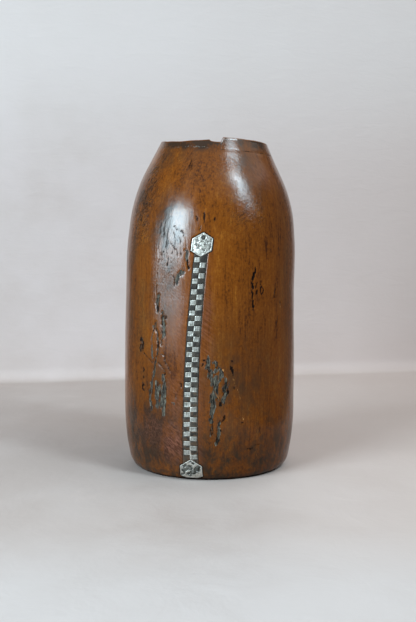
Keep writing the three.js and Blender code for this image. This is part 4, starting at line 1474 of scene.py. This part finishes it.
def hexagon():
    turns = np.radians(np.arange(0, 360, 60))
    rise = TOP_PLATE_HEIGHT + TOP_PLATE_RADIUS * np.cos(turns)
    return list(zip(TOP_PLATE_RADIUS * np.sin(turns), rise))


def house():
    half = FOOT_PLATE_HALF_WIDTH
    right = [(half, FOOT_PLATE_EAVES), (half, FOOT_PLATE_SILL), (half / 2, FOOT_PLATE_BOTTOM)]
    return [(0, FOOT_PLATE_PEAK), *right, *((-x, z) for x, z in right[::-1])]


def build_plate(place, mesh, pins, middle, metal, iron):
    add_piece(f"{place}_plate", mesh, metal, "aluminium", f"{place}_end_plate")
    for k, (x, rise) in enumerate(pins):
        pin = pin_mesh(x, middle + rise, 40 + k)
        add_piece(f"{place}_pin_{k + 1}", pin, iron, "iron", f"{place}_plate_pin_{k + 1}")


def build_plates(metal, iron):
    top, foot = TOP_PLATE_HEIGHT, FOOT_PLATE_MIDDLE
    holes = [(x, top + rise, *PIN_DIMPLE) for x, rise in TOP_PINS]
    holes.append((EMPTY_HOLE[0], top + EMPTY_HOLE[1], *EMPTY_DIMPLE))
    mesh = plate_mesh(hexagon(), (0, top), TOP_PITS, holes, 31)
    build_plate("top", mesh, TOP_PINS, top, metal, iron)
    holes = [(x, foot + rise, *PIN_DIMPLE) for x, rise in FOOT_PINS]
    mesh = plate_mesh(house(), (0, FOOT_RINGS_HEIGHT), FOOT_PITS, holes, 32)
    build_plate("foot", mesh, FOOT_PINS, foot, metal, iron)


# Stage, lights and camera

WALL_FOOT = [(-268, 410), (294, 516)]
COVE = 18
WALL_HEIGHT = 2600
WALL_SPAN = (-100, 700)
FLOOR_EDGE = [(-800, 0, -10, 255), (-400, 0, -25, 420)]  # from the wall, height, left and right
WALL_COLOURS = [(0.486, 0.393, 0.36), (0.554, 0.462, 0.438)]
# painted shade: the wall is coloured darker and warmer to the right, away from the window lights
WALL_PAINTED_SHADE = (0.525, 0.41, 0.37)
# painted light: the wall is coloured lighter towards the top
WALL_PAINTED_LIGHT = (0.65, 0.57, 0.54)
FLOOR_COLOURS = [(0.41, 0.334, 0.295), (0.482, 0.405, 0.366)]
FLOOR_SWEPT = (0.57, 0.475, 0.43)
# painted light: the floor right of the vessel is coloured lighter, against the shadow that the left lamps
# cast there
FLOOR_PAINTED_LIGHT = (0.64, 0.53, 0.48)
FLOOR_FRONT = (0.59, 0.54, 0.52)

# painted shadows on the floor, left of and behind the foot and round its front: middle in metres, span,
# weight and colour
FLOOR_PAINTED_SHADOWS = [
    ((-0.11, 0.06, 0), (0.02, 0.14), 0.42, (0.30, 0.245, 0.215)),
    ((-0.01, -0.03, 0), (0.045, 0.085), 0.5, (0.32, 0.265, 0.23)),
]


def stage_colour(f, blotches, trowel):
    """The wall above, and the floor below it."""
    parts = f.node("ShaderNodeSeparateXYZ", {"Vector": f.place}).outputs
    share = f.plus(f.times(f.noise(3.2, detail=4, rough=0.55), 0.6), f.times(blotches, 0.4))
    clouds = f.range(share, 0.35, 0.65)
    wall = f.mix(clouds, *WALL_COLOURS)
    # painted shade on the right of the wall
    wall = f.mix(f.range(parts["X"], -0.3, 0.5), wall, WALL_PAINTED_SHADE)
    # painted light, lightening the wall above about a quarter metre
    wall = f.mix(f.range(parts["Z"], 0.24, 0.46, 0, 0.6), wall, WALL_PAINTED_LIGHT)
    floor = f.mix(clouds, *FLOOR_COLOURS)
    floor = f.mix(f.range(trowel, 0.55, 0.75, 0, 0.3), floor, FLOOR_SWEPT)
    # painted light on the floor right of the vessel
    floor = f.mix(f.range(parts["X"], 0.0, 0.08, 0, 0.6), floor, FLOOR_PAINTED_LIGHT)
    floor = f.mix(f.range(parts["Y"], -0.15, -0.29, 0, 0.85), floor, FLOOR_FRONT)
    # painted shadows darken the floor round the foot
    for place, span, weight, colour in FLOOR_PAINTED_SHADOWS:
        floor = f.mix(f.range(f.away(place), *span, weight, 0), floor, colour)
    return f.mix(f.range(parts["Z"], -0.004, 0.006), floor, wall)


def stage_material():
    f = Finish("plaster")
    blotches = f.noise(14, shift=3.3, detail=5, rough=0.6)
    trowel = f.noise(26, (1, 1, 3), 6.1, detail=4, rough=0.6, bend=0.5)
    f.finish(
        Base_Color=stage_colour(f, blotches, trowel),
        Roughness=f.range(blotches, 0.3, 0.7, 0.6, 0.85),
        Normal=f.bump(f.plus(blotches, trowel), 0.0006),
    )
    # nothing is seen of the wall from behind it
    behind = f.node("ShaderNodeNewGeometry").outputs["Backfacing"]
    clear = f.node("ShaderNodeBsdfTransparent").outputs["BSDF"]
    shown = f.node("ShaderNodeMixShader", {0: behind, 1: f.shader.outputs["BSDF"], 2: clear})
    f.put(f.tree.nodes["Material Output"].inputs["Surface"], shown.outputs["Shader"])
    return f.material


def build_stage():
    """A wall and a floor, which narrows to the front and ends just below the picture."""
    (x0, y0), (x1, y1) = WALL_FOOT
    along = np.array([x1 - x0, y1 - y0]) / math.hypot(x1 - x0, y1 - y0)
    back = np.array([-along[1], along[0]])
    arc_turns = np.radians(np.linspace(0, 90, 10))
    cove = [(COVE * (math.sin(a) - 1), COVE * (1 - math.cos(a)), *WALL_SPAN) for a in arc_turns]
    profile = FLOOR_EDGE + cove + [(0, WALL_HEIGHT, *WALL_SPAN)]
    points = []
    for away, z, left, right in profile:
        for side in (left, right):
            points.append([*(np.array([x0, y0]) + along * side + back * away), z])
    mesh = bpy.data.meshes.new("backdrop")
    quads = grid_quads(len(profile), 2)
    mesh.from_pydata((np.array(points) * MM).tolist(), [], quads.tolist())
    mesh.polygons.foreach_set("use_smooth", [True] * len(mesh.polygons))
    mesh.materials.append(stage_material())
    backdrop = bpy.data.objects.new("backdrop", mesh)
    bpy.context.scene.collection.objects.link(backdrop)


LAMP_AIM = (0, 0, 0.14)


def add_light(name, azimuth, elevation, distance, width, height, brightness, colour):
    """A soft rectangular light. Azimuth 0 is in front, and brightness is its radiance."""
    turn, rise = math.radians(azimuth), math.radians(elevation)
    way = Vector((math.sin(turn) * math.cos(rise), -math.cos(turn) * math.cos(rise), math.sin(rise)))
    lamp = bpy.data.lights.new(name, "AREA")
    lamp.shape = "RECTANGLE"
    lamp.size = width
    lamp.size_y = height
    lamp.energy = brightness * math.pi * width * height
    lamp.color = colour
    light = bpy.data.objects.new(name, lamp)
    light.location = Vector(LAMP_AIM) + way * distance
    light.rotation_euler = (-way).to_track_quat("-Z", "Y").to_euler()
    light.visible_camera = False
    bpy.context.scene.collection.objects.link(light)


SKY = (0.70, 0.89, 1.0)
WARM = (1.0, 0.90, 0.80)
ROOM = (0.11, 0.11, 0.11, 1)

# name, azimuth, elevation, distance, width, height, brightness and colour
LAMPS = [
    ("window_left_high", -45, 19, 1.5, 0.72, 0.38, 27.0, SKY),
    ("window_left_wide", -54, 7.3, 1.5, 1.0, 0.31, 12.4, SKY),
    ("window_left_low", -54, 0, 1.5, 0.9, 0.26, 1.3, SKY),
    ("window_right", 47, 41, 1.5, 0.27, 0.38, 31.0, SKY),
    ("window_right_high", 42, 51, 1.5, 0.30, 0.24, 17.0, SKY),
    ("window_right_low", 56, 28, 1.5, 0.24, 0.34, 5.0, SKY),
    ("ceiling", 95, 62, 2.2, 2.2, 2.2, 1.0, WARM),
    ("sky_panel", -10, 66, 2.4, 2.8, 2.6, 0.29, SKY),
]


def build_lights():
    for lamp in LAMPS:
        add_light(*lamp)
    world = bpy.data.worlds.new("room")
    world.use_nodes = True
    world.node_tree.nodes["Background"].inputs["Color"].default_value = ROOM
    bpy.context.scene.world = world


CAMERA_PLACE = (-0.00107, -0.704, 0.178)
CAMERA_TILT = 4.37  # degrees that it looks down


def build_camera():
    lens = bpy.data.cameras.new("camera")
    lens.lens = 50
    lens.sensor_width = 36
    camera = bpy.data.objects.new("camera", lens)
    camera.location = CAMERA_PLACE
    camera.rotation_euler = (math.radians(90 - CAMERA_TILT), 0, 0)
    bpy.context.scene.collection.objects.link(camera)
    bpy.context.scene.camera = camera
    bpy.context.scene.view_settings.view_transform = "Standard"


wood, metal, pitch, iron = wood_material(), metal_material(), pitch_material(), iron_material()
build_vessel(wood, pitch)
build_lacing(metal)
build_plates(metal, iron)
build_stage()
build_lights()
build_camera()
